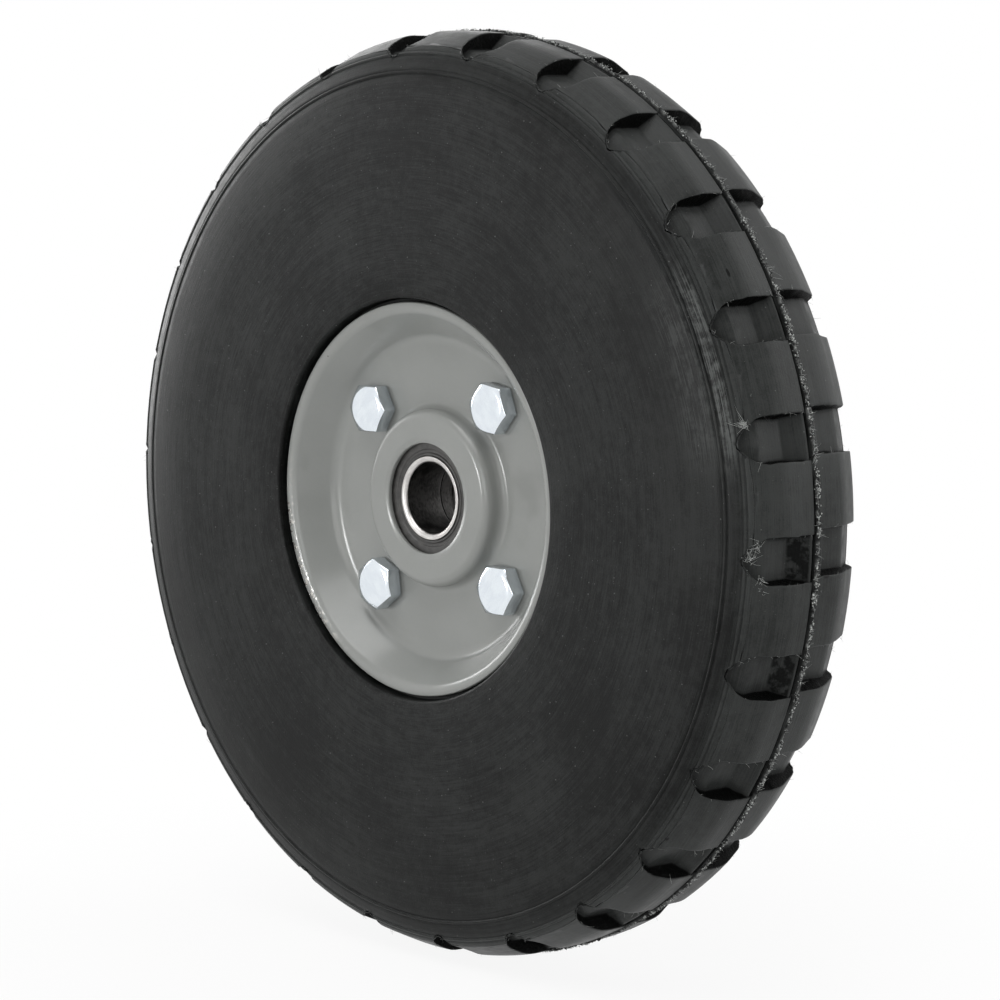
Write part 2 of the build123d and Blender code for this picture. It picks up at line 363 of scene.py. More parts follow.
class Graph(Nodes):
    """The shader nodes of one material."""

    def __init__(self, name: str) -> None:
        """Make a material of this name with a Principled shader.

        Args:
            name: the material's name.
        """
        self.material = bpy.data.materials.new(name)
        self.material.use_nodes = True
        super().__init__(self.material.node_tree)
        self.shader = self.add("BsdfPrincipled")
        self.output = self.add("OutputMaterial", Surface=self.shader.outputs["BSDF"])

    def set(self, **sockets: object) -> None:
        """Set or link inputs of the Principled shader, by name with underscores for spaces."""
        for name, value in sockets.items():
            self.put(self.shader.inputs[name.replace("_", " ")], value)

    @cached_property
    def polar(self) -> tuple[Socket, ...]:
        """Object coordinates about the axle: the radius, the axial place, and the unit direction's x and z.

        Returns:
            The four sockets, in that order.
        """
        x, y, z = self.split(self.place())
        radius = self.math("SQRT", self.plus(self.times(x, x), self.times(z, z)))
        return radius, y, self.math("DIVIDE", x, radius), self.math("DIVIDE", z, radius)

    def noise(self, scale: float, detail: float = 3.0, roughness: float = 0.5, vector: object = None) -> Socket:
        """Add a Noise texture, on the object coordinates where no vector is given, and return its value.

        Args:
            scale: noise cells per unit of the vector, which is a metre on the object coordinates.
            detail: the noise's detail.
            roughness: the noise's roughness.
            vector: socket of the places to read, or None.

        Returns:
            The noise's value.
        """
        vector = self.place() if vector is None else vector
        node = self.add("TexNoise", Vector=vector, Scale=scale, Detail=detail, Roughness=roughness)
        return node.outputs["Fac"]

    def streaks(self, along: float, over: float, detail: float = 3.0, roughness: float = 0.5) -> Socket:
        """Add noise that runs in streaks round the axle.

        Args:
            along: noise cells per radian along a streak.
            over: noise cells per metre across the streaks.
            detail: the noise's detail.
            roughness: the noise's roughness.

        Returns:
            The noise at (x * along, z * along, (radius + axial) * over), with x and z the unit direction.
        """
        radius, axial, x, z = self.polar
        node = self.add("CombineXYZ", X=self.times(x, along), Y=self.times(z, along),
                        Z=self.times(self.plus(radius, axial), over))
        return self.noise(1.0, detail, roughness, node.outputs[0])

    def facing(self, turn: float, low: float, high: float) -> Socket:
        """Give 1 round one angle about the axle in degrees, falling to 0 where the cosine from it is low.

        Args:
            turn: the angle in degrees.
            low: cosine of the angle from it at which the result is 0.
            high: cosine at which the result is 1.

        Returns:
            A value from 0 to 1.
        """
        _, _, x, z = self.polar
        turn = math.radians(turn)
        return self.span(self.weighted((x, math.cos(turn)), (z, math.sin(turn))), low, high)

    def colours(self, factor: object, first: object, second: object) -> Socket:
        """Mix two colours by a factor and return the colour.

        Args:
            factor: share of the second colour.
            first: first colour or socket.
            second: second colour or socket.

        Returns:
            The mixed colour.
        """
        node = self.add("Mix")
        node.data_type = "RGBA"
        for index, value in ((0, factor), (6, first), (7, second)):
            self.put(node.inputs[index], value)
        return node.outputs[2]

    def specks(self, scale: float, size: float, share: float) -> Socket:
        """Add scattered round specks.

        Args:
            scale: cells per metre.
            size: speck radius as a share of a cell.
            share: how many of the cells hold a speck.

        Returns:
            1 on a speck and 0 elsewhere.
        """
        node = self.add("TexVoronoi", Vector=self.place(), Scale=scale)
        near = self.span(node.outputs["Distance"], size, size * 0.5)
        chance = self.add("SeparateColor", Color=node.outputs["Color"]).outputs[0]
        return self.times(near, self.math("LESS_THAN", chance, share))

    def value(self, name: str) -> Socket:
        """Return a number kept on the mesh's points.

        Args:
            name: the name under which the number is kept.

        Returns:
            The number.
        """
        node = self.add("Attribute")
        node.attribute_name = name
        return node.outputs["Fac"]

    def bump(self, height: object, depth: float, strength: float, under: object = None) -> Socket:
        """Add a Bump node and return its normal.

        Args:
            height: height from 0 to 1.
            depth: real height in metres.
            strength: strength of the effect.
            under: normal of the bump below this one.

        Returns:
            The bent normal.
        """
        node = self.add("Bump", Strength=strength, Distance=depth, Height=height)
        if under is not None:
            self.put(node.inputs["Normal"], under)
        return node.outputs[0]


@dataclass(frozen=True)
class Scar:
    """A small cut, pip or smudge on the rubber, as a flattened patch about one place on its surface.

    Fields: the angle about the axle, the place along it, the radius, half the patch's length round the wheel and
    half its width along the axle in millimetres, and its tone.
    """

    turn: float
    axial: float
    radius: float
    length: float
    width: float
    tone: Colour = (0.004, 0.004, 0.004, 1.0)


@dataclass(frozen=True)
class Rubber:
    """Black moulded rubber: blotchy, finely streaked round the axle and torn in places, with a painted sheen beside the
    beads and painted shade on its pocket wall faces and in the seam's crevice.
    """

    name: str = "moulded_rubber"
    dark: Colour = (0.0019, 0.0023, 0.0021, 1.0)
    pale: Colour = (0.0150, 0.0162, 0.0156, 1.0)
    dust: Colour = (0.13, 0.135, 0.13, 1.0)
    # Painted shade: near-black colour laid on the pocket wall faces, their feet and the seam's crevice.
    painted_shade: Colour = (0.0022, 0.0024, 0.0023, 1.0)
    trodden: Colour = (0.046, 0.049, 0.0475, 1.0)
    # Painted sheen: pale colour for light on the outer sidewall and between the beads round one turn.
    painted_sheen: Colour = (0.092, 0.097, 0.094, 1.0)
    sheen_turn: float = 21.0
    slant_turn: float = -10.0
    scars: tuple[Scar, ...] = (
        Scar(38.6, -12.0, 130.0, 2.6, 0.5),
        Scar(31.0, -13.0, 129.0, 1.5, 0.5),
        Scar(-4.6, 4.0, 130.0, 1.4, 1.5),
        Scar(-40.5, -19.0, 125.8, 0.7, 0.7),
    )

    def material(self) -> Material:
        """Make the material.

        Returns:
            Rubber whose streaks follow the axle's circles, with painted shade darkening the rough pocket wall faces and
            the seam's crevice, a painted sheen beside the beads at one turn, and single scars.
        """
        graph = Graph(self.name)
        radius, axial, _, _ = graph.polar
        fine = graph.streaks(7.0, 2300.0, 3.0, 0.6)
        broad = graph.streaks(3.0, 420.0, 2.0)
        scratch = graph.streaks(15.0, 5200.0, 2.0, 0.6)
        blotch = graph.noise(26.0, 4.0, 0.55)
        mottle = graph.noise(330.0, 5.0, 0.62)
        grain = graph.noise(2400.0, 2.0, 0.5)
        tone = graph.weighted((fine, 0.30), (scratch, 0.24), (broad, 0.16), (blotch, 0.40), (mottle, 0.30),
                              (grain, 0.20))
        base = graph.colours(graph.span(tone, 0.69, 0.93), self.dark, self.pale)
        trodden = graph.times(graph.span(radius, 0.1215, 0.1245), graph.span(tone, 0.60, 0.95, 0.25, 0.65))
        base = graph.colours(trodden, base, self.trodden)
        # Painted sheen: pale streaky light on the outer sidewall and between the beads, near one turn.
        between = graph.times(graph.span(axial, -0.0206, -0.0210), graph.span(axial, -0.0223, -0.0218))
        inside = graph.times(graph.span(radius, 0.104, 0.115), graph.span(axial, -0.0222, -0.0226))
        sheen_mask = graph.times(graph.plus(between, graph.times(inside, 0.38)),
                             graph.facing(self.sheen_turn, 0.965, 0.995),
                             graph.span(graph.plus(scratch, fine, mottle), 1.35, 1.70))
        base = graph.colours(sheen_mask, base, self.painted_sheen)
        for scale, size, share, strength in ((420.0, 0.10, 0.20, 0.6), (1000.0, 0.16, 0.14, 0.4)):
            base = graph.colours(graph.times(graph.specks(scale, size, share), strength), base, self.dust)
        for scar in self.scars:
            base = graph.colours(self.scarred(graph, scar, mottle), base, scar.tone)
        pores = graph.noise(1300.0, 4.0, 0.7)
        slant = graph.times(graph.value("slant"), graph.facing(self.slant_turn, 0.93, 0.99),
                            graph.span(mottle, 0.36, 0.54))
        # The cut value is painted shade on the pocket wall faces, their feet and the seam's crevice; the slant patches
        # join it as rough dark rubber.
        cut = graph.math("MAXIMUM", graph.value("cut"), graph.times(slant, 0.85))
        shaded_walls = graph.colours(graph.span(pores, 0.50, 0.85), self.painted_shade, self.pale)
        height = graph.weighted((fine, 0.5), (grain, 0.35), (mottle, 0.6))
        torn = graph.times(pores, cut, 4.0)
        graph.set(
            Base_Color=graph.colours(cut, base, shaded_walls),
            Roughness=graph.span(graph.plus(fine, mottle), 0.7, 1.3, 0.36, 0.50),
            Specular_IOR_Level=graph.math("SUBTRACT", 0.15, graph.times(cut, 0.12)),
            Normal=graph.bump(graph.plus(height, torn), 0.00011, 0.8),
        )
        return graph.material

    def scarred(self, graph: Graph, scar: Scar, ragged: Socket) -> Socket:
        """Give 1 inside one scar, with a ragged edge.

        Formula: the distance from its place, counted in half lengths round the wheel and half widths along the
        axle, falls off through a noise.

        Args:
            graph: the rubber's nodes.
            scar: the scar.
            ragged: noise that frays its edge.

        Returns:
            1 inside the scar and 0 outside.
        """
        centre = around(scar.radius, math.radians(scar.turn), scar.axial) * MM
        total: object = 0.0
        for socket, middle, half in zip(graph.split(graph.place()), centre, (scar.length, scar.width, scar.length)):
            off = graph.math("DIVIDE", graph.math("SUBTRACT", socket, float(middle)), half * MM)
            total = graph.plus(total, graph.times(off, off))
        return graph.span(graph.plus(total, graph.times(ragged, 1.6)), 1.9, 1.3)


@dataclass(frozen=True)
class TornRubber:
    """Torn flash and lint: each crumb and hair has its own shade from black to pale grey."""

    name: str = "torn_rubber"
    dark: Colour = (0.010, 0.0105, 0.0105, 1.0)
    pale: Colour = (0.62, 0.64, 0.62, 1.0)

    def material(self) -> Material:
        """Make the material, with its tone read from the points' shade.

        Returns:
            Rough finely grained rubber, as light as the shade of each point.
        """
        graph = Graph(self.name)
        grain = graph.noise(2600.0, 2.0)
        shade = graph.times(graph.value("shade"), graph.span(grain, 0.3, 0.7, 0.75, 1.1))
        graph.set(Base_Color=graph.colours(shade, self.dark, self.pale), Roughness=0.75, Specular_IOR_Level=0.25,
                  Normal=graph.bump(grain, 0.00005, 0.5))
        return graph.material


@dataclass(frozen=True)
class Paint:
    """Grey stove enamel on pressed steel, chipped to dull metal round the worn stretch of its rim."""

    name: str = "grey_enamel"
    colour: Colour = (0.272, 0.280, 0.268, 1.0)
    shade: Colour = (0.256, 0.264, 0.252, 1.0)
    metal: Colour = (0.62, 0.60, 0.56, 1.0)
    soot: Colour = (0.03, 0.028, 0.026, 1.0)
    smudged: Colour = (0.19, 0.195, 0.185, 1.0)
    worn_turn: float = 205.0
    rim_radius: float = 54.4
    rim_width: float = 0.0022

    def material(self) -> Material:
        """Make the material.

        Returns:
            Satin gloss paint with a faint cloud, small dark pits and a worn rim.
        """
        graph = Graph(self.name)
        cloud = graph.noise(60.0, 4.0)
        fine = graph.noise(1500.0, 3.0)
        clouded = graph.span(graph.plus(cloud, graph.times(fine, 0.25)), 0.35, 0.85)
        base = graph.colours(clouded, self.shade, self.colour)
        smudge = graph.span(graph.noise(38.0, 3.0), 0.60, 0.74)
        base = graph.colours(graph.times(smudge, 0.45), base, self.smudged)
        base = graph.colours(graph.times(graph.specks(190.0, 0.05, 0.06), 0.8), base, self.soot)
        rim = graph.span(graph.polar[0], self.rim_radius * MM - self.rim_width, self.rim_radius * MM)
        flakes = graph.span(graph.noise(700.0, 4.0, 0.65), 0.52, 0.56)
        worn = graph.times(graph.facing(self.worn_turn, 0.80, 0.97), rim, flakes)
        normal = graph.bump(graph.noise(140.0, 2.0), 0.00004, 0.4)
        graph.set(
            Base_Color=graph.colours(worn, base, self.metal),
            Metallic=graph.times(worn, 0.8),
            Roughness=graph.span(fine, 0.3, 0.7, 0.20, 0.25),
            Specular_IOR_Level=0.5,
            Normal=graph.bump(graph.times(worn, -1.0), 0.00008, 0.6, normal),
        )
        return graph.material


@dataclass(frozen=True)
class Metal:
    """Plain metal with a turned or brushed grain."""

    name: str
    colour: Colour
    low: Colour
    roughness: float = 0.25
    grain: float = 900.0
    depth: float = 0.00002
    cloud_scale: float = 260.0

    def material(self) -> Material:
        """Make the material.

        Returns:
            Metal whose fine lines run round the axle, with a faint cloud in its colour and gloss.
        """
        graph = Graph(self.name)
        lines = graph.streaks(9.0, self.grain * 2.0)
        cloud = graph.noise(self.cloud_scale, 4.0)
        graph.set(
            Base_Color=graph.colours(graph.span(graph.plus(cloud, lines), 0.75, 1.25), self.low, self.colour),
            Metallic=1.0,
            Roughness=graph.span(cloud, 0.3, 0.7, self.roughness * 0.85, self.roughness * 1.2),
            Normal=graph.bump(lines, self.depth, 0.5),
        )
        return graph.material


@dataclass(frozen=True)
class Plain:
    """Plain moulded finish with fine grain, for seals and cages."""

    name: str
    colour: Colour
    low: Colour
    roughness: float = 0.5

    def material(self) -> Material:
        """Make the material, with a faint mottle and a fine bump.

        Returns:
            The finish, mottled between its two colours.
        """
        graph = Graph(self.name)
        mottle = graph.noise(500.0, 4.0)
        graph.set(Base_Color=graph.colours(graph.span(mottle, 0.3, 0.7), self.low, self.colour),
                  Roughness=graph.span(mottle, 0.3, 0.7, self.roughness * 0.9, self.roughness * 1.1),
                  Normal=graph.bump(graph.noise(3000.0, 2.0), 0.00003, 0.5))
        return graph.material


ZINC = Metal("bright_zinc", (0.79, 0.84, 0.88, 1), (0.74, 0.79, 0.84, 1), 0.16, 300.0, 0.000003)
GROUND_STEEL = Metal("ground_steel", (0.60, 0.585, 0.57, 1), (0.50, 0.485, 0.47, 1), 0.36, 1400.0, 0.00001)
# Painted shade: steel darkened to near black for the inside of the bearings' bores and the hidden inner faces.
SHADED_BORE_STEEL = Metal("oiled_steel", (0.085, 0.082, 0.079, 1), (0.035, 0.034, 0.033, 1), 0.48)
DRAWN_TUBE = Metal("drawn_tube", (0.45, 0.45, 0.44, 1), (0.30, 0.30, 0.30, 1), 0.35)
POLISHED_BALL = Metal("polished_ball", (0.82, 0.82, 0.82, 1), (0.75, 0.75, 0.75, 1), 0.08)
SEAL_RUBBER = Plain("seal_rubber", (0.055, 0.053, 0.050, 1), (0.030, 0.029, 0.028, 1), 0.42)
CAGE_NYLON = Plain("cage_nylon", (0.17, 0.14, 0.11, 1), (0.12, 0.10, 0.08, 1), 0.5)


@dataclass(frozen=True)
class Finishes:
    """All finishes of the wheel, made once and shared."""

    rubber: Material = field(default_factory=Rubber().material)
    torn: Material = field(default_factory=TornRubber().material)
    paint: Material = field(default_factory=Paint().material)
    zinc: Material = field(default_factory=ZINC.material)
    ring: Material = field(default_factory=GROUND_STEEL.material)
    bore: Material = field(default_factory=SHADED_BORE_STEEL.material)
    tube: Material = field(default_factory=DRAWN_TUBE.material)
    ball: Material = field(default_factory=POLISHED_BALL.material)
    seal: Material = field(default_factory=SEAL_RUBBER.material)
    cage: Material = field(default_factory=CAGE_NYLON.material)


def dress(piece: Piece, *materials: Material) -> None:
    """Give an object its materials, in the order of its slots.

    Args:
        piece: the object.
        materials: its materials.
    """
    piece.data.materials.clear()
    for material in materials:
        piece.data.materials.append(material)


def settle(piece: Piece, node: str | None, slot: str, body: str, *materials: Material) -> Piece:
    """Dress a piece, let it stand for its solid and ride on its body.

    Args:
        piece: the piece.
        node: the solid's name in the frame, or None where the piece stands for none.
        slot: the record's material slot; not used.
        body: the body that carries it.
        materials: its materials, in the order of its slots.

    Returns:
        The same piece.
    """
    dress(piece, *materials)
    if node is not None:
        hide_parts(node)
    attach(piece, body)
    return piece


@dataclass(frozen=True)
class CellPlan:
    """One pocket's cell laid flat, as (around, axial) places on the plain tread.

    Fields: the rim's points, the direction inwards at each, the matching points on the cell's edge, the first column
    that meets the sidewall, and the first whose rim lies beyond the cell's edge.
    """

    rim: Array
    inward: Array
    outer: Array
    first_end: int
    first_beyond: int


@dataclass
class Tyre:
    """The solid tyre: one welded surface of tread cells, shoulder beads, sidewalls and the hidden seat."""

    tread_radius: float = field(init=False)
    sidewall_half_width: float = field(init=False)
    crown_half_width: float = 10.0
    crown_rounding: float = 14.0
    shoulder_drop: float = 4.4
    shoulder_half_width: float = 19.2
    shoulder_rounding: float = 3.0
    outer_bead_drop: float = 6.3
    outer_bead_half_width: float = 20.4
    inner_bead_drop: float = 11.5
    inner_bead_half_width: float = 22.3
    bead_along: tuple[float, ...] = (-0.95, -0.75, -0.58, -0.42, -0.28, 0.0, 0.28, 0.42, 0.58, 0.75, 0.95)
    bead_relief: tuple[float, ...] = (0.0, -0.12, -0.25, -0.05, 0.18, 0.22, 0.18, -0.05, -0.25, -0.12, 0.0)
    sidewall_flat_radius: float = 95.0
    sidewall_inner_radius: float = 76.0
    rim_radius: float = 56.3
    rim_half_width: float = 23.9
    rim_rounding: float = 0.8
    seat_radius: float = 53.3
    seat_half_width: float = 19.7
    web_radius: float = 46.1
    web_half_width: float = 9.5
    bore_radius: float = 25.02
    cells: int = 26
    near_turn: float = 11.1
    far_turn: float = 11.7
    pocket_width: float = 12.4
    round_end: float = 20.53
    near_cell_edge: float = 19.0
    far_cell_edge: float = 21.7
    strip_drop: float = 0.6
    strip_half_width: float = 2.1
    floor_inner_drop: float = 4.7
    floor_inner_half_width: float = 6.8
    floor_outer_drop: float = 5.0
    floor_outer_half_width: float = 15.0
    end_slope: float = 0.557
    draft: float = 6.0
    edge_rounding: float = 0.28
    foot_rounding: float = 0.45
    worn_share: float = 0.3
    foot_share: float = 0.35
    least_wall: float = 0.01
    # Painted shade on the pocket wall faces: full at this depth, then by row down the wall, its foot and the floor's
    # edge.
    full_shade_depth: float = 1.2
    wall_shade: tuple[float, ...] = (1.0, 1.0, 1.0, 1.0, 1.0, 0.75, 0.5, 0.12)
    land_steps: tuple[float, ...] = (0.0, 0.3, 0.6, 0.82, 0.93)
    floor_steps: tuple[float, ...] = (0.12, 0.5, 1.0)
    edge_wobble: float = 0.13
    side_rows: tuple[float, ...] = (0.7, 1.2, 1.85, 2.1, 2.4, 3.3, 4.9, 6.4, 6.8, 7.2, 8.6, 9.7, 10.3, 11.8)
    near_seam_rows: tuple[float, ...] = (1.45, 1.65)
    open_rows: tuple[float, ...] = (13.4, 15.0, 16.7, 18.4, 19.2, 19.66)

    def __post_init__(self) -> None:
        """Read the overall sizes from the frame."""
        _, high = box_mm("tyre")
        self.tread_radius = float(high[0])
        self.sidewall_half_width = float(high[1])

    def corner(self, drop: float, half_width: float) -> Array:
        """Give a corner of the section as (axial, radius)."""
        return np.array([half_width, self.tread_radius - drop])

    def runs(self) -> tuple[Array, Array, Array]:
        """Give the outer bead's corner and the unit directions (axial, radius) before and after it.

        Returns:
            The corner, the direction before it and the direction after it.
        """
        shoulder = self.corner(self.shoulder_drop, self.shoulder_half_width)
        outer = self.corner(self.outer_bead_drop, self.outer_bead_half_width)
        inner = self.corner(self.inner_bead_drop, self.inner_bead_half_width)
        return outer, unit(outer - shoulder), unit(inner - outer)

    def land(self, axial: Array) -> tuple[Array, Array]:
        """Work out the tread's land over places on its plain section.

        Formula: the plain section's radius, pushed out square to the section by the outer bead's relief at that
        distance from the bead's middle.

        Args:
            axial: distance from the seam on the plain section.

        Returns:
            The land's radius, and how far the push moves it along the axle.
        """
        line = rounded([
            (0.0, self.tread_radius, 0),
            (self.crown_half_width, self.tread_radius, self.crown_rounding),
            (self.shoulder_half_width, self.tread_radius - self.shoulder_drop, self.shoulder_rounding),
            (self.outer_bead_half_width, self.tread_radius - self.outer_bead_drop, 0),
            (self.inner_bead_half_width, self.tread_radius - self.inner_bead_drop, 0),
        ], steps=8)
        outer, before, after = self.runs()
        run = np.where((axial < outer[0])[..., None], before, after)
        along = (axial - outer[0]) / run[..., 0]
        height = np.interp(along, self.bead_along, self.bead_relief, left=0.0, right=0.0)
        radius = np.interp(axial, line[:, 0], line[:, 1]) + height * run[..., 0]
        return radius, -height * run[..., 1]

    def bead_rows(self) -> Array:
        """Give the places on the plain section where the outer bead's relief bends.

        Returns:
            The axial places in millimetres.
        """
        outer, before, after = self.runs()
        along = np.array(self.bead_along)
        return outer[0] + along * np.where(along < 0, before[0], after[0])

    def floor(self, axial: Array) -> Array:
        """Give the radius of a pocket's floor: strip, slope, floor and end slope, with softened bends.

        Args:
            axial: distances from the middle plane in millimetres.

        Returns:
            The radius in millimetres at each.
        """
        last = self.inner_bead_half_width
        end_drop = self.floor_outer_drop + self.end_slope * (last - self.floor_outer_half_width)
        outline = rounded([
            (0.0, -self.strip_drop, 0),
            (self.strip_half_width, -self.strip_drop, 0.3),
            (self.floor_inner_half_width, -self.floor_inner_drop, 0.5),
            (self.floor_outer_half_width, -self.floor_outer_drop, 1.2),
            (last, -end_drop, 0),
        ])
        return self.tread_radius + np.interp(axial, outline[:, 0], outline[:, 1])

    def run_out(self) -> float:
        """Give the axial place where the floor's end slope meets the band between the beads.

        Returns:
            The axial place in millimetres.
        """
        outer, _, after = self.runs()
        fall = -after[1] / after[0]
        drop = self.outer_bead_drop - self.floor_outer_drop
        start = drop - fall * outer[0] + self.end_slope * self.floor_outer_half_width
        return start / (self.end_slope - fall)

    def inner_bead(self) -> Array:
        """Work out the inner bead's section: a low ridge with a fine crease at each foot, on two straight runs.

        Returns:
            (radius, axial) points in order towards the axle.
        """
        _, _, band = self.runs()
        fall = self.tread_radius - self.inner_bead_drop - self.sidewall_flat_radius
        rise = self.sidewall_half_width - self.inner_bead_half_width
        turn = 2 * math.atan2(rise, fall)
        dome = np.array([math.sin(turn), -math.cos(turn)])
        along = np.array(self.bead_along)[:, None]
        base = self.corner(self.inner_bead_drop, self.inner_bead_half_width) + along * np.where(along < 0, band, dome)
        run = unit(np.gradient(base, axis=0))
        outward = np.stack([-run[:, 1], run[:, 0]], axis=1)
        return (base + outward * np.array(self.bead_relief)[:, None])[:, ::-1]

    def side_outline(self) -> Array:
        """Work out the section from the inner bead over the sidewall to the web.

        Formula: the dome is the arc that leaves the inner bead and lies flat at the widest radius.

        Returns:
            (radius, axial) points.
        """
        bead = self.inner_bead()
        fall = bead[-1, 0] - self.sidewall_flat_radius
        rise = self.sidewall_half_width - bead[-1, 1]
        arc_radius = (fall**2 + rise**2) / (2 * rise)
        turn = np.linspace(math.asin(fall / arc_radius), 0, 14)[1:]
        dome = np.stack([
            self.sidewall_flat_radius + arc_radius * np.sin(turn),
            self.sidewall_half_width - arc_radius * (1 - np.cos(turn)),
        ], axis=1)
        inside = rounded([
            (self.sidewall_flat_radius, self.sidewall_half_width, 0),
            (self.sidewall_inner_radius, self.sidewall_half_width, 60.0),
            (self.rim_radius, self.rim_half_width, self.rim_rounding),
            (self.rim_radius, self.seat_half_width, 0.3),
            (self.seat_radius, self.seat_half_width, 0),
            (self.web_radius, self.web_half_width, 0),
            (self.bore_radius, self.web_half_width, 0),
        ], steps=4)
        return np.concatenate([bead, dome, divided(inside[1:], 14.0)])

    def reach(self) -> float:
        """Give half a cell's length round the tread."""
        return math.pi * self.tread_radius / self.cells

    def mirrored(self, rim: Array, inward: Array, outer: Array, first_end: int,
                 first_beyond: int) -> CellPlan:
        """Complete a cell's left half, which ends on the middle line, by its mirror image.

        Args:
            rim: the half rim's points, shape (n, 2).
            inward: direction inwards at each.
            outer: the matching points on the cell's edge.
            first_end: first column that meets the sidewall.
            first_beyond: first column whose rim lies beyond the cell's edge.

        Returns:
            The plan of the whole cell.
        """
        flip = np.array([-1.0, 1.0])
        whole = [np.concatenate([half, half[-2::-1] * flip]) for half in (rim, inward, outer)]
        return CellPlan(*whole, first_end, first_beyond)

    def round_plan(self) -> CellPlan:
        """Lay out a near cell: the rim runs straight from the seam and closes in a half circle.

        Returns:
            The plan of the whole cell.
        """
        half = self.pocket_width / 2
        middle = self.round_end - half
        edge = self.near_cell_edge
        rows = np.array(self.near_seam_rows + self.side_rows[2:])
        corner, meet = math.radians(30), math.asin((edge - middle) / half)
        turns = np.concatenate([
            np.linspace(0, corner, 5),
            np.linspace(corner, meet, 3)[1:],
            np.linspace(meet, math.pi / 2, 5)[1:],
        ])
        arc = np.stack([-half * np.cos(turns), middle + half * np.sin(turns)], axis=1)
        rim = np.concatenate([np.stack([np.full(len(rows), -half), rows], axis=1), arc])
        arc_inward = np.stack([np.cos(turns), -np.sin(turns)], axis=1)
        inward = np.concatenate([np.tile([1.0, 0.0], (len(rows), 1)), arc_inward])
        outer = rim.copy()
        first_end = len(rows) + 4
        outer[:first_end + 1, 0] = -self.reach()
        outer[len(rows):first_end + 1, 1] = np.linspace(middle, edge, 5)
        outer[first_end:first_end + 3, 0] = np.linspace(-self.reach(), -half * math.cos(meet), 3)
        outer[first_end:first_end + 3, 1] = edge
        return self.mirrored(rim, inward, outer, first_end, first_end + 2)

    def open_plan(self) -> CellPlan:
        """Lay out a far cell: the rim runs straight from the seam until the floor leaves the shoulder.

        Returns:
            The plan of the whole cell.
        """
        half = self.pocket_width / 2
        end = self.run_out()
        rows = np.concatenate([self.side_rows, self.open_rows, self.bead_rows(), [end - 0.22]])
        across = np.linspace(-half, 0, 7)
        rim = np.concatenate([
            np.stack([np.full(len(rows), -half), rows], axis=1),
            np.stack([across, np.full(7, end)], axis=1),
        ])
        inward = np.concatenate([np.tile([1.0, 0.0], (len(rows), 1)), np.tile([0.0, -1.0], (7, 1))])
        outer = rim.copy()
        outer[:len(rows), 0] = -self.reach()
        outer[len(rows):] = np.stack([np.linspace(-self.reach(), 0, 7), np.full(7, self.far_cell_edge)], axis=1)
        return self.mirrored(rim, inward, outer, len(rows), len(rim))

    def plan(self, side: Side) -> CellPlan:
        """Lay out all cells of one half, each rim worn by its own slight wander.

        Args:
            side: which half of the tread.

        Returns:
            The plan with the rim of shape (cells, columns, 2).
        """
        cell = self.round_plan() if side is Side.NEAR else self.open_plan()
        share = np.linspace(0, 1, len(cell.rim))
        wobble = wander(share, (3, 7, 11, 17, 23), 11 + side.value, self.cells) * self.edge_wobble
        if side is Side.FAR:
            wobble = wobble * np.clip((self.run_out() - cell.rim[:, 1]) / 1.5, 0, 1)
        rim = cell.rim[None] - cell.inward[None] * wobble[:, :, None]
        return CellPlan(rim, cell.inward, cell.outer, cell.first_end, cell.first_beyond)

    def angle(self, side: Side, around_place: Array) -> Array:
        """Turn places round the tread of each cell, cells first, into angles about the axle.

        Args:
            side: side of the wheel.
            around_place: places in millimetres round the tread, from the cell's middle.

        Returns:
            Angles in radians, with the cells along the first axis.
        """
        turn = math.radians(self.near_turn if side is Side.NEAR else self.far_turn)
        centre = turn + 2 * np.pi * np.arange(self.cells) / self.cells
        return centre.reshape(-1, *[1] * (around_place.ndim - 1)) + around_place / self.tread_radius

    def cell_grid(self, side: Side) -> tuple[Array, Array, Array, Array]:
        """Work out all pocket cells of one half of the tread.

        Formula: from each point of the cell's edge the surface runs over the land, round the worn rim, down the
        drafted wall, through the foot's fillet and over the floor to the pocket's middle line. Its radius is the
        land's or the floor's at that axial place.

        Args:
            side: which half of the tread.

        Returns:
            Points of shape (cells, columns, steps, 3), how much painted shade each carries on the pocket's wall and its
            foot, how far each lies on the slope beside the seam, and the cells' edge places on the plain section,
            closed round the wheel.
        """
        plan = self.plan(side)
        rim, inward = plan.rim, plan.inward[None]
        rim_radius, rim_shift = self.land(rim[..., 1])
        beside = np.maximum(rim[..., 1] + inward[..., 1] * 0.6, 0)
        depth = np.maximum(rim_radius - self.floor(beside), 0)
        worn = np.minimum(self.edge_rounding, depth * self.worn_share)[..., None]
        foot = np.minimum(self.foot_rounding, depth * self.foot_share)[..., None]
        wall = np.maximum(depth[..., None] - worn - foot, self.least_wall)
        lean = math.tan(math.radians(self.draft))
        quarter = np.radians(np.array([0.0, 30.0, 60.0, 90.0]))
        thirds = np.array([0.33, 0.67, 1.0])
        inside = np.concatenate([
            -worn + worn * np.sin(quarter),
            wall * lean * thirds,
            wall * lean + foot * (1 - np.cos(quarter[1:])),
        ], axis=-1)
        drop = np.concatenate([
            worn * (1 - np.cos(quarter)),
            worn + wall * thirds,
            worn + wall + foot * np.sin(quarter[1:]),
        ], axis=-1)
        edge = rim[..., None, :] + inward[..., None, :] * inside[..., None]
        edge_radius = rim_radius[..., None] - drop
        edge_shift = np.broadcast_to(rim_shift[..., None], drop.shape).copy()
        edge_radius[..., 0], edge_shift[..., 0] = self.land(edge[..., 0, 1])
        end = self.round_end if side is Side.NEAR else self.run_out()
        spine = np.stack([0 * rim[..., 1], np.minimum(rim[..., 1], end - self.pocket_width / 2)], axis=-1)
        share = np.array(self.floor_steps)[:, None]
        bottom = edge[..., -1:, :] * (1 - share) + spine[..., None, :] * share
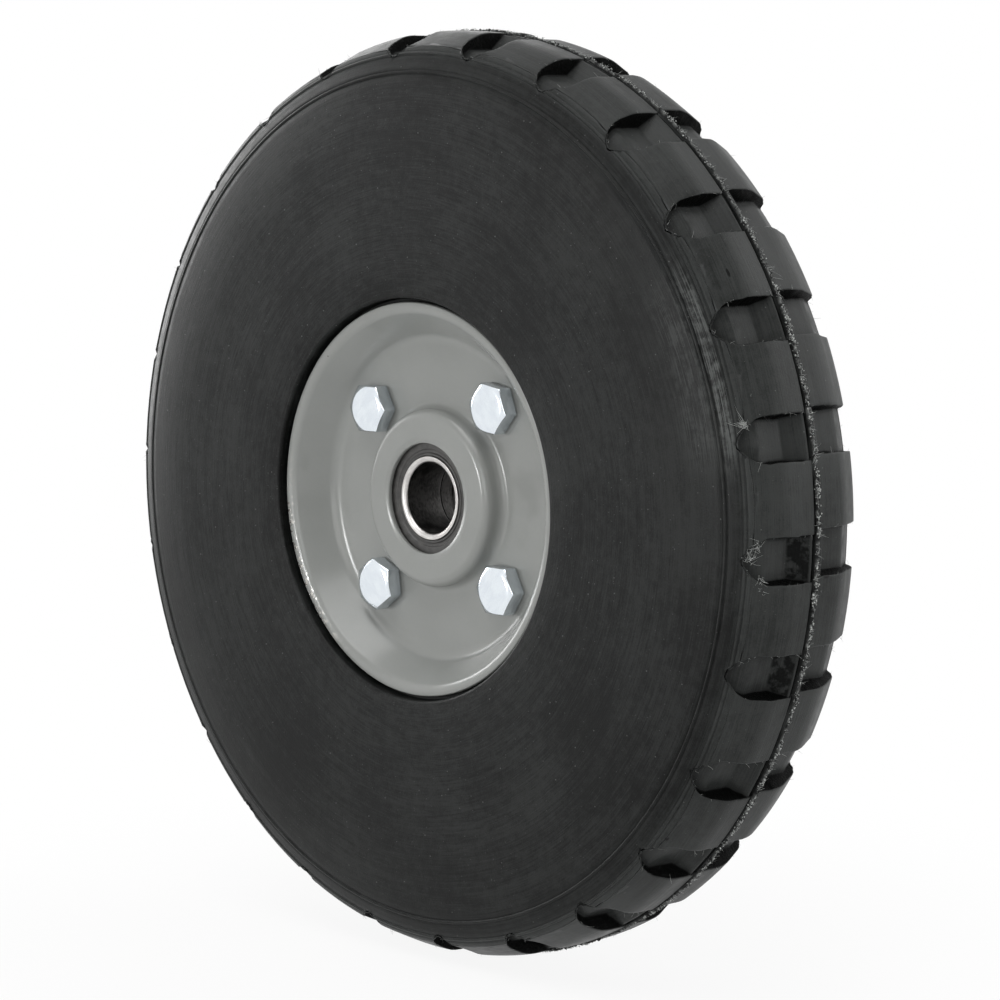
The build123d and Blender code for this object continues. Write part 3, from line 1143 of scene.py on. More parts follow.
        outer = np.broadcast_to(plan.outer, rim.shape).copy()
        beyond = slice(plan.first_beyond, rim.shape[1] - plan.first_beyond)
        outer[:, beyond, 0] = edge[:, beyond, 0, 0]
        outer[:, beyond, 1] = np.maximum(edge[:, beyond, 0, 1], plan.outer[plan.first_end, 1])
        lines = np.array(self.land_steps)[:, None]
        land = outer[..., None, :] * (1 - lines) + edge[..., :1, :] * lines
        land_radius, land_shift = self.land(land[..., 1])
        place = np.concatenate([land, edge, bottom], axis=-2)
        radius = np.concatenate([land_radius, edge_radius, self.floor(bottom[..., 1])], axis=-1)
        shift = np.concatenate([land_shift, edge_shift, 0 * bottom[..., 1]], axis=-1)
        # Painted shade down each pocket's wall, through its foot and onto the floor's edge.
        cut = np.zeros(radius.shape)
        cut[..., 8:16] = np.clip(depth[..., None] / self.full_shade_depth, 0, 1) * np.array(self.wall_shade)
        slant = np.interp(place[..., 1], [1.9, 2.4, 6.5, 7.1], [0.0, 1.0, 1.0, 0.0])
        slant[..., :9] = 0.0
        grid = around(radius, self.angle(side, place[..., 0]), side.value * (place[..., 1] + shift))
        ends = slice(plan.first_end, rim.shape[1] - 1 - plan.first_end)
        line = outer[:, ends, 1].reshape(-1)
        return grid, cut, slant, np.append(line, line[0])

    def seam_band(self, near: Array, far: Array) -> Array:
        """Join the two halves of the tread by the band under the mould seam.

        Formula: straight steps from the near edge to the far one, with the radius lowered in a narrow crease on the
        near side, whose depth wanders round the wheel.

        Args:
            near: the near half's edge points in order round the wheel.
            far: the far half's edge points in the same order.

        Returns:
            Grid of points, shape (steps, points, 3).
        """
        share = np.linspace(0, 1, 8)[:, None, None]
        band = near[None] * (1 - share) + far[None] * share
        around_share = np.linspace(0, 1, near.shape[0])
        depth = np.clip(0.75 + 0.55 * wander(around_share, (9, 31, 64, 97, 150), 5)[0], 0.15, 1.4)
        crease = np.array([0.0, 0.7, 1.0, 0.8, 0.0, -0.1, 0.1, 0.0])[:, None] * depth[None, :]
        radius = np.linalg.norm(band[..., [0, 2]], axis=-1)
        factor = (radius - crease) / radius
        band[..., 0] *= factor
        band[..., 2] *= factor
        return band

    def seam_line(self, grid: Array) -> Array:
        """Put the seam edges of all cells in order round the wheel.

        Args:
            grid: the cells' points, shape (cells, columns, steps, 3).

        Returns:
            The edge's points, closed, shape (n, 3).
        """
        left = grid[:, 0]
        right = grid[:, -1, ::-1][:, 1:]
        line = np.concatenate([left, right], axis=1)[:, :-1].reshape(-1, 3)
        return np.concatenate([line, line[:1]])

    def side_grid(self, side: Side, top: Array, edge: Array) -> Array:
        """Work out one side from the cells' edge over the beads and the sidewall to the bore.

        Formula: rows of the plain section, held at the cells' edge where a pocket's end reaches past them, then the
        sidewall's section carried round the axle.

        Args:
            side: which side of the tyre.
            top: the cells' edge points, closed round the wheel.
            edge: the same points' places on the plain section.

        Returns:
            Grid of points, shape (rows, points, 3).
        """
        rows = np.array([self.far_cell_edge])
        if side is Side.NEAR:
            rows = np.concatenate([[self.near_cell_edge, 19.2, 19.45, 19.66], self.bead_rows(), [21.2], rows])
        angle = np.unwrap(np.arctan2(top[:, 2], top[:, 0]))
        radius, shift = self.land(np.maximum(rows[:, None], edge[None]))
        strip = around(radius, angle[None], side.value * (np.maximum(rows[:, None], edge[None]) + shift))
        strip = np.where((rows[:, None] <= edge[None])[..., None], top[None], strip)
        outline = self.side_outline()
        wall = around(outline[:, None, 0], angle[None], side.value * outline[:, None, 1])
        grid = np.concatenate([strip, wall])
        grid[:, -1] = grid[:, 0]
        return grid

    def build(self, finishes: Finishes) -> Piece:
        """Build the tyre and let it stand for its solid.

        Args:
            finishes: the wheel's finishes.

        Returns:
            The tyre's object.
        """
        cloth = Patchwork()
        seam: dict[Side, Array] = {}
        bores: list[Array] = []
        for side in Side:
            grid, cut, slant, edge = self.cell_grid(side)
            cloth.add(grid, flip=side is Side.NEAR, cut=cut, slant=slant)
            seam[side] = self.seam_line(grid)
            first = self.plan(side).first_end
            top = grid[:, first:grid.shape[1] - 1 - first, 0].reshape(-1, 3)
            surface = self.side_grid(side, np.concatenate([top, top[:1]]), edge)
            cloth.add(surface, flip=side is Side.FAR, cut=0.0, slant=0.0)
            bores.append(surface[-1])
        band = self.seam_band(seam[Side.NEAR], seam[Side.FAR])
        # Painted shade in the seam's crevice, its strength wandering round the wheel.
        torn = np.clip(0.9 + 0.8 * wander(np.linspace(0, 1, band.shape[1]), (23, 51, 83, 140, 201), 6)[0], 0.1, 1)
        crevice_shade = np.array([0.0, 1.0, 1.0, 1.0, 0.6, 0.0, 0.0, 0.0])[:, None] * torn
        cloth.add(band, cut=crevice_shade, slant=0.0)
        cloth.add(np.stack(bores), flip=True, cut=0.0, slant=0.0)
        return settle(cloth.build("tyre_rubber"), "tyre", "rubber_black", "wheel", finishes.rubber)


@dataclass(frozen=True)
class Tuft:
    """Long lint caught on a near pocket's end.

    Fields: its angle about the axle and its place along it, how many hairs, their mean length, how they lean round
    the wheel and along the axle, and how widely their feet are scattered.
    """

    turn: float
    axial: float
    hairs: int
    length: float
    lean: tuple[float, float]
    spread: float = 0.25


@dataclass
class Flash:
    """What the mould left on the tread: a torn fin on the seam, crumbs, and hairs on the pockets' edges."""

    tyre: Tyre
    fin_steps: int = 2600
    fin_height: float = 0.5
    greatest_height: float = 0.85
    crumbs: int = 4200
    clusters: int = 420
    seam_hairs: int = 1500
    pocket_hairs: int = 16
    hair_radius: float = 0.05
    hair_steps: int = 5
    hair_sides: int = 3
    hair_taper: float = 0.65
    tufts: tuple[Tuft, ...] = (
        Tuft(13.1, -19.2, 40, 2.4, (0.3, -0.9)),
        Tuft(-0.7, -18.2, 16, 1.6, (0.1, -0.5), 0.4),
        Tuft(-2.2, -19.9, 30, 1.8, (0.8, 0.5), 0.4),
        Tuft(-5.4, -17.2, 18, 1.3, (-0.6, 0.2), 0.6),
    )

    def seam_place(self, share: Array) -> Array:
        """Give the seam's axial place, which wanders a little round the wheel."""
        return 0.12 + 0.30 * wander(share, (2, 5, 9, 14), 21)[0] + 0.16 * wander(share, (40, 73, 121), 22)[0]

    def fin(self, cloth: Patchwork) -> None:
        """Add the torn fin.

        Formula: a thin wedge stands on the seam. Its top rises and falls and leans to either side as random waves
        of many lengths say.

        Args:
            cloth: the patchwork that takes it.
        """
        share = np.linspace(0, 1, self.fin_steps + 1)
        height = self.fin_height * (0.75 + 0.6 * wander(share, (61, 127, 233, 401, 577), 23)[0])
        height = np.clip(height, 0.05, 1.0)
        lean = 0.35 * wander(share, (19, 47, 89, 263, 433), 24)[0]
        middle = self.seam_place(share)
        angle = 2 * np.pi * share
        base = self.tyre.tread_radius - 0.45
        across = np.stack([middle - 0.34, middle - 0.20 + 0.5 * lean, middle + lean,
                           middle + 0.16 + 0.6 * lean, middle + 0.30])
        radius = np.stack([np.full_like(share, base), base + 0.45 + 0.55 * height, base + 0.45 + height,
                           base + 0.45 + 0.5 * height, np.full_like(share, base)])
        shade = np.clip(0.16 + 0.30 * wander(share, (83, 191, 307, 509, 611), 25)[0], 0.0, 0.62)
        shade = np.stack([np.zeros_like(share), shade * 0.5, shade, shade * 0.8, np.zeros_like(share)])
        cloth.add(self.held(around(radius, angle[None, :], across)), shade=shade)

    def held(self, grid: Array) -> Array:
        """Hold points within the flash's greatest height over the tread and within the tyre's width.

        Args:
            grid: points in millimetres, shape (..., 3).

        Returns:
            The points held, in the same shape.
        """
        radius = np.linalg.norm(grid[..., [0, 2]], axis=-1, keepdims=True)
        share = np.minimum(1.0, (self.tyre.tread_radius + self.greatest_height) / radius)
        lowered = grid * np.concatenate([share, np.ones_like(share), share], axis=-1)
        widest = self.tyre.sidewall_half_width
        lowered[..., 1] = np.clip(lowered[..., 1], -widest, widest)
        return lowered

    def add_crumbs(self, cloth: Patchwork) -> None:
        """Add the crumbs.

        Formula: each crumb is an eight-sided double pyramid with random half lengths, turned at random, set beside
        the seam.

        Args:
            cloth: the patchwork that takes them.
        """
        chance = np.random.default_rng(31)
        middle = chance.choice(chance.uniform(0, 1, self.clusters), self.crumbs)
        share = (middle + chance.normal(0, 0.0011, self.crumbs)) % 1.0
        axial = self.seam_place(share) + 0.32 + chance.normal(0, 0.42, self.crumbs)
        size = chance.uniform(0.08, 0.40, (self.crumbs, 1, 1, 3)) * np.array([1.0, 1.0, 0.9])
        polar = np.array([0.0, np.pi / 2, np.pi])[:, None]
        turn = np.linspace(0, 2 * np.pi, 5)[None, :]
        ball = np.stack(np.broadcast_arrays(np.sin(polar) * np.cos(turn), np.sin(polar) * np.sin(turn),
                                            np.cos(polar) + 0 * turn), axis=-1)
        spin, _ = np.linalg.qr(chance.normal(size=(self.crumbs, 3, 3)))
        spin *= np.sign(np.linalg.det(spin))[:, None, None]
        local = np.einsum("nij,nrcj->nrci", spin, ball[None] * size)
        angle = 2 * np.pi * share
        radius = self.tyre.tread_radius + chance.uniform(-0.15, 0.45, self.crumbs)
        centre = around(radius, angle, axial)
        shade = chance.choice([0.0, 0.05, 0.35, 0.7, 1.0], self.crumbs, p=[0.16, 0.14, 0.22, 0.26, 0.22])
        cloth.add(self.held(centre[:, None, None, :] + local), shade=shade[:, None, None])

    def add_hairs(self, cloth: Patchwork, foot: Array, aim: Array, length: Array,
                  curl: Array, shade: Array) -> None:
        """Add fine hairs.

        Formula: each hair is a three-sided tube along foot + unit aim * length * t + curl * t squared, thinning to
        its tip.

        Args:
            cloth: the patchwork that takes them.
            foot: where each hair starts, shape (n, 3).
            aim: direction at its foot, of any length.
            length: its length.
            curl: how far its tip bends away, as a vector.
            shade: its tone from 0, black, to 1, pale.
        """
        step = np.linspace(0, 1, self.hair_steps)
        spine = foot[:, None] + unit(aim)[:, None] * (length[:, None, None] * step[None, :, None])
        spine = spine + curl[:, None] * (step**2)[None, :, None]
        run = unit(np.gradient(spine, axis=1))
        side = unit(np.cross(run, np.array([0.31, 0.87, 0.38])))
        other = np.cross(run, side)
        turn = np.linspace(0, 2 * np.pi, self.hair_sides + 1)[:, None]
        width = self.hair_radius * (1 - self.hair_taper * step)[None, :, None, None]
        ring = side[:, :, None] * np.cos(turn) + other[:, :, None] * np.sin(turn)
        grid = self.held(spine[:, :, None] + ring * width)
        cloth.add(grid, flip=True, shade=np.broadcast_to(shade[:, None, None], grid.shape[:3]))

    def seam_fringe(self, cloth: Patchwork) -> None:
        """Add the short hairs that stand along the seam.

        Args:
            cloth: the patchwork that takes them.
        """
        chance = np.random.default_rng(41)
        share = chance.uniform(0, 1, self.seam_hairs)
        angle = 2 * np.pi * share
        axial = self.seam_place(share) + chance.normal(0, 0.25, self.seam_hairs)
        foot = around(self.tyre.tread_radius + 0.05, angle, axial)
        outward, _ = directions(angle)
        aim = 0.35 * outward + chance.normal(0, 0.5, (self.seam_hairs, 3)) + np.array([0, 0.45, 0])
        aim -= np.minimum(0, (aim * outward).sum(1))[:, None] * outward * 1.4
        length = chance.gamma(2.5, 0.50, self.seam_hairs)
        curl = chance.normal(0, 0.3, (self.seam_hairs, 3))
        self.add_hairs(cloth, foot, aim, length, curl, chance.uniform(0.45, 1.0, self.seam_hairs))

    def pocket_fringe(self, cloth: Patchwork, side: Side) -> None:
        """Add hairs along the pockets' edges, most of them round the lower side and the round end.

        Args:
            cloth: the patchwork that takes them.
            side: side of the wheel.
        """
        chance = np.random.default_rng(51 + side.value)
        plan = self.tyre.plan(side)
        cells, points = plan.rim.shape[:2]
        count = self.pocket_hairs
        pick = chance.integers(8, points - 2, (cells, count))
        place = np.take_along_axis(plan.rim, pick[..., None], axis=1)
        inner = plan.inward[pick]
        angle = self.tyre.angle(side, place[..., 0]).reshape(-1)
        axial = place[..., 1].reshape(-1)
        radius = self.tyre.land(axial)[0] - 0.08
        foot = around(radius, angle, side.value * axial)
        outward, tangent = directions(angle)
        inner = inner.reshape(-1, 2)
        aim = tangent * inner[:, :1] + np.array([0, side.value, 0]) * inner[:, 1:]
        aim = aim * chance.uniform(-0.6, 1.0, (len(angle), 1)) + 0.35 * outward + chance.normal(0, 0.5, (len(angle), 3))
        length = chance.gamma(2.2, 0.34, len(angle))
        curl = chance.normal(0, 0.35, (len(angle), 3))
        self.add_hairs(cloth, foot, aim, length, curl, chance.uniform(0.15, 0.75, len(angle)))

    def add_tufts(self, cloth: Patchwork) -> None:
        """Add the tufts of long lint that hang on near pockets' ends.

        Args:
            cloth: the patchwork that takes them.
        """
        chance = np.random.default_rng(61)
        for tuft in self.tufts:
            count = tuft.hairs
            turn = np.radians(tuft.turn + chance.normal(0, tuft.spread, count))
            axial = tuft.axial + chance.normal(0, tuft.spread, count)
            foot = around(self.tyre.land(-axial)[0] + 0.1, turn, axial)
            outward, tangent = directions(turn)
            aim = tangent * tuft.lean[0] + np.array([0, tuft.lean[1], 0]) + 0.15 * outward
            aim = aim + chance.normal(0, 0.45, (count, 3))
            length = chance.gamma(3.0, tuft.length / 3.0, count)
            self.add_hairs(cloth, foot, aim, length, chance.normal(0, 0.6, (count, 3)), chance.uniform(0.5, 1.0, count))

    def build(self, finishes: Finishes) -> Piece:
        """Build the flash on the tyre.

        Args:
            finishes: the wheel's finishes.

        Returns:
            The flash's object.
        """
        cloth = Patchwork()
        self.fin(cloth)
        self.add_crumbs(cloth)
        self.seam_fringe(cloth)
        for side in Side:
            self.pocket_fringe(cloth, side)
        self.add_tufts(cloth)
        return settle(cloth.build("mould_flash"), None, "rubber_black", "wheel", finishes.torn)


@dataclass
class Plate:
    """A pressed steel plate: boss, web, flange and lip in one sheet."""

    side: Side
    sheet: float = 1.5
    opening_radius: float = 15.6
    boss_radius: float = 25.02
    boss_top_rounding: float = 2.7
    boss_foot_rounding: float = 2.5
    boss_height: float = 6.2
    flange_bend_radius: float = 45.0
    flange_foot_rounding: float = 5.0
    flange_top_rounding: float = 3.0
    lip_radius: float = 52.4
    lip_drop: float = 0.4
    edge_half_width: float = 21.9
    edge_ease: float = 0.2
    columns: int = 288

    def outline(self) -> Array:
        """Work out the sheet's closed section.

        Formula: the visible face is a run with rounded bends, and the hidden face lies one sheet thickness behind
        it, along the face's own normal. The two cut edges are slightly rounded.

        Returns:
            (radius, distance from the middle plane) points.
        """
        _, ring_face = box_mm("far_inner_ring")
        _, high = box_mm("near_plate")
        boss_face = float(ring_face[1]) + self.sheet
        web_face = boss_face - self.boss_height
        rim = float(high[0])
        face = rounded([
            (self.opening_radius, boss_face, 0),
            (self.boss_radius, boss_face, self.boss_top_rounding),
            (self.boss_radius, web_face, self.boss_foot_rounding),
            (self.flange_bend_radius, web_face, self.flange_foot_rounding),
            (self.lip_radius, self.edge_half_width - self.lip_drop, self.flange_top_rounding),
            (rim, self.edge_half_width, 0),
        ], steps=10)
        face = divided(face, 2.5)
        run = unit(np.gradient(face, axis=0))
        behind = np.stack([run[:, 1], -run[:, 0]], axis=1)
        ease = self.edge_ease
        front = face.copy()
        front[0] += run[0] * ease
        front[-1] -= run[-1] * ease
        back = face + behind * self.sheet
        back[0] += run[0] * ease
        back[-1] -= run[-1] * ease
        first = np.stack([face[0] + behind[0] * (self.sheet - ease), face[0] + behind[0] * ease])
        last = np.stack([face[-1] + behind[-1] * ease, face[-1] + behind[-1] * (self.sheet - ease)])
        return np.concatenate([front, last, back[::-1], first, front[:1]])

    def build(self, finishes: Finishes) -> Piece:
        """Build the plate and let it stand for its solid.

        Args:
            finishes: the wheel's finishes.

        Returns:
            The plate.
        """
        name = f"{self.side.name.lower()}_plate"
        cloth = revolved(self.outline() * np.array([1.0, self.side.value]), self.columns)
        return settle(cloth.build(name + "_enamelled"), name, "grey_paint", "wheel", finishes.paint)


@dataclass
class HexFastener:
    """Sizes shared by the bolts and nuts."""

    circle_radius: float = 35.5
    count: int = 4
    first_turn: float = 48.4
    seat_half_width: float = 11.0
    across_flats: float = 13.0
    face_radius: float = 5.65
    chamfer_turn: float = 24.6
    washer_radius: float = 5.9
    washer_height: float = 0.4
    corner_ease: float = 0.07
    thread_radius: float = 4.0
    pitch: float = 1.25
    thread_depth: float = 0.55
    thread_columns: int = 36

    def hexagon(self) -> tuple[Array, Array]:
        """Work out the hexagon's outline.

        Formula: the radius is half the width across flats over the cosine of the angle from the nearest flat's
        middle, held just short of the sharp corner.

        Returns:
            Angles and radii, closed.
        """
        within = np.radians([-30.0, -29.5, -28.8, -24.0, -12.0, 0.0, 12.0, 24.0, 28.8, 29.5])
        angle = (np.radians(60.0) * np.arange(6)[:, None] + np.radians(30.0) + within[None, :]).reshape(-1)
        radius = np.tile(self.across_flats / 2 / np.cos(within), 6)
        corner = self.across_flats / 2 / math.cos(math.radians(30)) - self.corner_ease
        radius = np.minimum(radius, corner)
        return np.append(angle, angle[0] + 2 * np.pi), np.append(radius, radius[0])

    def chamfered(self, height: float, from_top: bool) -> tuple[Array, Array]:
        """Work out one chamfered face of a hexagon.

        Formula: a flat disc out to the face radius, then a cone that falls at the chamfer's turn and meets the
        flats in shallow curves.

        Args:
            height: height of the flat face.
            from_top: True where the face is the top one, so the cone falls below it.

        Returns:
            Radii and heights, each of shape (rows, columns).
        """
        _, radius = self.hexagon()
        fall = math.tan(math.radians(self.chamfer_turn))
        sign = -1 if from_top else 1
        share = np.array([0.0, 0.35, 0.7, 1.0])[:, None]
        cone = self.face_radius + (radius[None] - self.face_radius) * share
        drop = (cone - self.face_radius) * fall
        soft = np.array([0.03, 0.0, 0.0, 0.05])[:, None]
        return cone, height + sign * (drop + soft)

    def placed(self, grids: list[Array], turns: tuple[float, ...], side: Side) -> Patchwork:
        """Set a fastener at its places on the bolt circle.

        Args:
            grids: the fastener's surfaces, with its seat at height 0.
            turns: each one's own turn in degrees.
            side: which side of the wheel its seat lies on.

        Returns:
            The patchwork that holds all of them.
        """
        angle = np.radians(self.first_turn + 360 / self.count * np.arange(self.count))
        centres = around(np.full(self.count, self.circle_radius), angle, side.value * self.seat_half_width)
        cloth = Patchwork()
        for centre, turn in zip(centres, np.radians(turns)):
            spin = np.array([[math.cos(turn), 0, -math.sin(turn)], [0, 1, 0], [math.sin(turn), 0, math.cos(turn)]])
            for grid in grids:
                cloth.add(grid @ spin.T + centre, flip=side is Side.FAR)
        return cloth

    def thread(self, start: float, end: float) -> tuple[Array, Array, Array]:
        """Work out a right-hand thread.

        Formula: the radius falls from the crest by a triangle wave of the height less the turned share of a pitch.

        Args:
            start: height where the thread starts.
            end: height of the bolt's end.

        Returns:
            Angles, heights and radii, each of shape (rows, columns).
        """
        angle = np.linspace(0, 2 * np.pi, self.thread_columns + 1)[None, :]
        rows = int((end - start) / self.pitch * 8) + 1
        height = np.linspace(start, end, rows)[:, None] + 0 * angle
        phase = (height / self.pitch - angle / (2 * np.pi)) % 1.0
        groove = np.clip(np.abs(phase - 0.5) * 2.4 - 0.2, 0, 1)
        taper = np.clip((end - height) / 0.9, 0, 1)
        radius = self.thread_radius - self.thread_depth * (1 - groove * taper)
        return angle + 0 * height, height, radius


@dataclass
class Bolts(HexFastener):
    """Four hexagon head bolts, heads on the near side."""

    head_height: float = 5.3
    length: float = 35.0
    thread_length: float = 9.0
    tip_radius: float = 3.2
    turns: tuple[float, ...] = (-10.0, 0.0, -23.0, -2.0)

    def head(self) -> Array:
        """Work out one head, with the seat at height 0 and the face at the head's height.

        Returns:
            Grid of (x, height, z) points.
        """
        angle, radius = self.hexagon()
        cone, cone_height = self.chamfered(self.head_height, from_top=True)
        flat = np.ones_like(radius)
        disc = [0.0, self.face_radius * 0.55, self.face_radius - 0.15]
        rows = [np.stack([flat * r, flat * self.head_height]) for r in disc]
        rows += [np.stack([r, h]) for r, h in zip(cone, cone_height)]
        rows += [
            np.stack([radius, cone_height[-1] - 0.12]),
            np.stack([radius, flat * (self.washer_height + 0.2)]),
            np.stack([radius - 0.1, flat * self.washer_height]),
            np.stack([flat * self.washer_radius, flat * self.washer_height]),
            np.stack([flat * self.washer_radius, flat * 0.0]),
            np.stack([flat * self.thread_radius, flat * 0.0]),
        ]
        section = np.stack(rows)
        return around(section[:, 0], angle[None, :], section[:, 1])

    def shank(self) -> Array:
        """Work out one shank as a grid, with heights counted from the seat towards the far side.

        Returns:
            The shank's grid of points in millimetres.
        """
        angle = np.linspace(0, 2 * np.pi, self.thread_columns + 1)[None, :]
        start = self.length - self.thread_length
        plain = around(self.thread_radius, angle, np.array([[0.0], [start]]))
        turned, height, radius = self.thread(start, self.length)
        threaded = around(radius, turned, height)
        tip = around(np.array([[self.tip_radius], [0.0]]), angle, self.length)
        return np.concatenate([plain, threaded, tip])

    def build(self, finishes: Finishes) -> Piece:
        """Build the bolts and let them stand for their solids."""
        cloth = self.placed([self.head() * np.array([1, -1, 1]), self.shank()], self.turns, Side.NEAR)
        return settle(cloth.build("hexagon_bolts"), "hex_bolts", "zinc", "wheel", finishes.zinc)


@dataclass
class Nuts(HexFastener):
    """Four hexagon nuts on the far side."""

    height: float = 6.5
    hole_ease: float = 0.02
    mouth_width: float = 0.45
    mouth_depth: float = 0.5
    flat_radius: float = 5.4
    turns: tuple[float, ...] = (14.0, 37.0, 5.0, 52.0)

    def body(self) -> Array:
        """Work out one nut, chamfered on both faces and at the mouth of its hole.

        Returns:
            The nut's grid of points in millimetres.
        """
        angle, radius = self.hexagon()
        top, top_height = self.chamfered(self.height, from_top=True)
        low, low_height = self.chamfered(0.0, from_top=False)
        flat = np.ones_like(radius)
        hole = self.thread_radius + self.hole_ease
        mouth = hole + self.mouth_width
        rows = [np.stack([flat * hole, flat * (self.height - self.mouth_depth)])]
        rows += [np.stack([flat * r, flat * self.height]) for r in (mouth, self.flat_radius)]
        rows += [np.stack([r, h]) for r, h in zip(top, top_height)]
        rows += [np.stack([radius, top_height[-1] - 0.12]), np.stack([radius, low_height[-1] + 0.12])]
        rows += [np.stack([r, h]) for r, h in zip(low[::-1], low_height[::-1])]
        rows += [np.stack([flat * mouth, flat * 0.0]), np.stack([flat * hole, flat * self.mouth_depth])]
        rows += [rows[0]]
        section = np.stack(rows)
        return around(section[:, 0], angle[None, :], section[:, 1])

    def build(self, finishes: Finishes) -> Piece:
        """Build the nuts and let them stand for their solids."""
        cloth = self.placed([self.body()], self.turns, Side.FAR)
        return settle(cloth.build("hexagon_nuts"), "hex_nuts", "zinc", "wheel", finishes.zinc)


@dataclass
class Bearing:
    """One sealed ball bearing: its inner ring and outer seal are remade finely, the rest is dressed."""

    side: Side
    bore_radius: float = 10.0
    face_radius: float = 11.75
    bore_rounding: float = 1.2
    shoulder_setback: float = 1.6
    lip_radius: float = 11.95
    lip_edge: float = 12.6
    channel_inner: float = 12.8
    channel_outer: float = 13.6
    channel_edge: float = 13.9
    channel_depth: float = 0.35
    seal_radius: float = 20.95
    hidden_half_width: float = 6.0
    columns: int = 160

    def name(self, part: str) -> str:
        """Give the frame's name of one of this bearing's pieces."""
        return f"{self.side.name.lower()}_{part}"

    def inner_ring(self, finishes: Finishes) -> Piece:
        """Build the inner ring's shell with its rounded bore edges.

        Args:
            finishes: the wheel's finishes.

        Returns:
            The ring.
        """
        low, high = box_mm(self.name("inner_ring"))
        first, last = float(low[1]), float(high[1])
        shoulder = float(high[0])
        middle = (self.bore_radius, (first + last) / 2, 0)
        outline = rounded([
            middle,
            (self.bore_radius, last, self.bore_rounding),
            (self.face_radius, last, 0.15),
            (self.face_radius, last - self.shoulder_setback, 0.1),
            (shoulder, last - self.shoulder_setback, 0.1),
            (shoulder, first + self.shoulder_setback, 0.1),
            (self.face_radius, first + self.shoulder_setback, 0.1),
            (self.face_radius, first, 0.15),
            (self.bore_radius, first, self.bore_rounding),
            middle,
        ])
        piece = revolved(outline, self.columns).build(self.name("inner_ring_ground"))
        settle(piece, self.name("inner_ring"), "bearing_steel", "axle_seat", finishes.ring, finishes.bore)
        middles = np.empty(len(piece.data.polygons) * 3)
        piece.data.polygons.foreach_get("center", middles)
        middles = middles.reshape(-1, 3) / MM
        # The bore's faces and the hidden middle take the darkened steel, as painted shade inside the bore.
        in_bore = np.linalg.norm(middles[:, [0, 2]], axis=1) < self.bore_radius + 0.08
        in_bore |= np.abs(middles[:, 1]) < self.hidden_half_width
        piece.data.polygons.foreach_set("material_index", in_bore.astype(np.int32))
        return piece

    def seal(self, facing: str, outward: int, finishes: Finishes) -> Piece:
        """Build a seal: a flat ring with a lip at its bore and a shallow channel beside it.

        Args:
            facing: "outer" or "inner", the seal's name in the frame.
            outward: sign of Y that its visible face looks towards.
            finishes: the wheel's finishes.

        Returns:
            The seal's object.
        """
        low, high = box_mm(self.name(f"{facing}_seal"))
        face = float(high[1]) if outward > 0 else float(low[1])
        back = float(low[1]) if outward > 0 else float(high[1])
        channel = face - outward * self.channel_depth
        outline = rounded([
            (self.lip_radius, back, 0),
            (self.lip_radius, face, 0.2),
            (self.lip_edge, face, 0.15),
            (self.channel_inner, channel, 0.12),
            (self.channel_outer, channel, 0.12),
            (self.channel_edge, face, 0.15),
            (self.seal_radius, face, 0.1),
            (self.seal_radius, back, 0),
            (self.lip_radius, back, 0),
        ], steps=3)
        node = self.name(f"{facing}_seal")
        piece = revolved(outline, self.columns).build(node + "_moulded")
        return settle(piece, node, "seal_rubber", "wheel", finishes.seal)

    def build(self, finishes: Finishes) -> list[Piece]:
        """Build the visible pieces and dress the hidden ones.

        Args:
            finishes: the wheel's finishes.

        Returns:
            The new objects.
        """
        pieces = [
            self.inner_ring(finishes),
            self.seal("outer", self.side.value, finishes),
            self.seal("inner", -self.side.value, finishes),
        ]
        dress(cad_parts[self.name("outer_ring")], finishes.ring)
        dress(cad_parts[self.name("cage")], finishes.cage)
        for name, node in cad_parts.items():
            if name.startswith(self.name("ball_")):
                dress(node, finishes.ball)
        return pieces


@dataclass
class Hub:
    """Hub tube and distance ring, which keep their solids and get their finish."""

    def build(self, finishes: Finishes) -> None:
        """Dress the two pieces."""
        dress(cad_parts["hub_tube"], finishes.tube)
        dress(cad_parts["distance_ring"], finishes.bore)


def stand(thing: Piece, turn: float, rise: float, away: float) -> None:
    """Stand a camera or a lamp off the wheel, so that it faces the wheel's centre.

    Args:
        thing: the camera or lamp.
        turn: its direction from the wheel in degrees, from -Y towards +X.
        rise: its height angle in degrees.
        away: its distance in metres.
    """
    bpy.context.scene.collection.objects.link(thing)
    turn, rise = math.radians(turn), math.radians(rise)
    thing.location = (
        away * math.sin(turn) * math.cos(rise),
        -away * math.cos(turn) * math.cos(rise),
        away * math.sin(rise),
    )
    thing.rotation_euler = (math.pi / 2 - rise, 0, turn)


@dataclass(frozen=True)
class Lamp:
    """A square soft lamp that faces the wheel.

    Fields: its name, its direction from the wheel and its height angle in degrees, its distance and its side in
    metres, and its power in watts.
    """

    name: str
    turn: float
    rise: float
    away: float
    size: float
    power: float

    def build(self) -> None:
        """Hang the lamp."""
        light = bpy.data.lights.new(self.name, "AREA")
        light.shape = "SQUARE"
        light.size = self.size
        light.energy = self.power
        stand(bpy.data.objects.new(self.name, light), self.turn, self.rise, self.away)


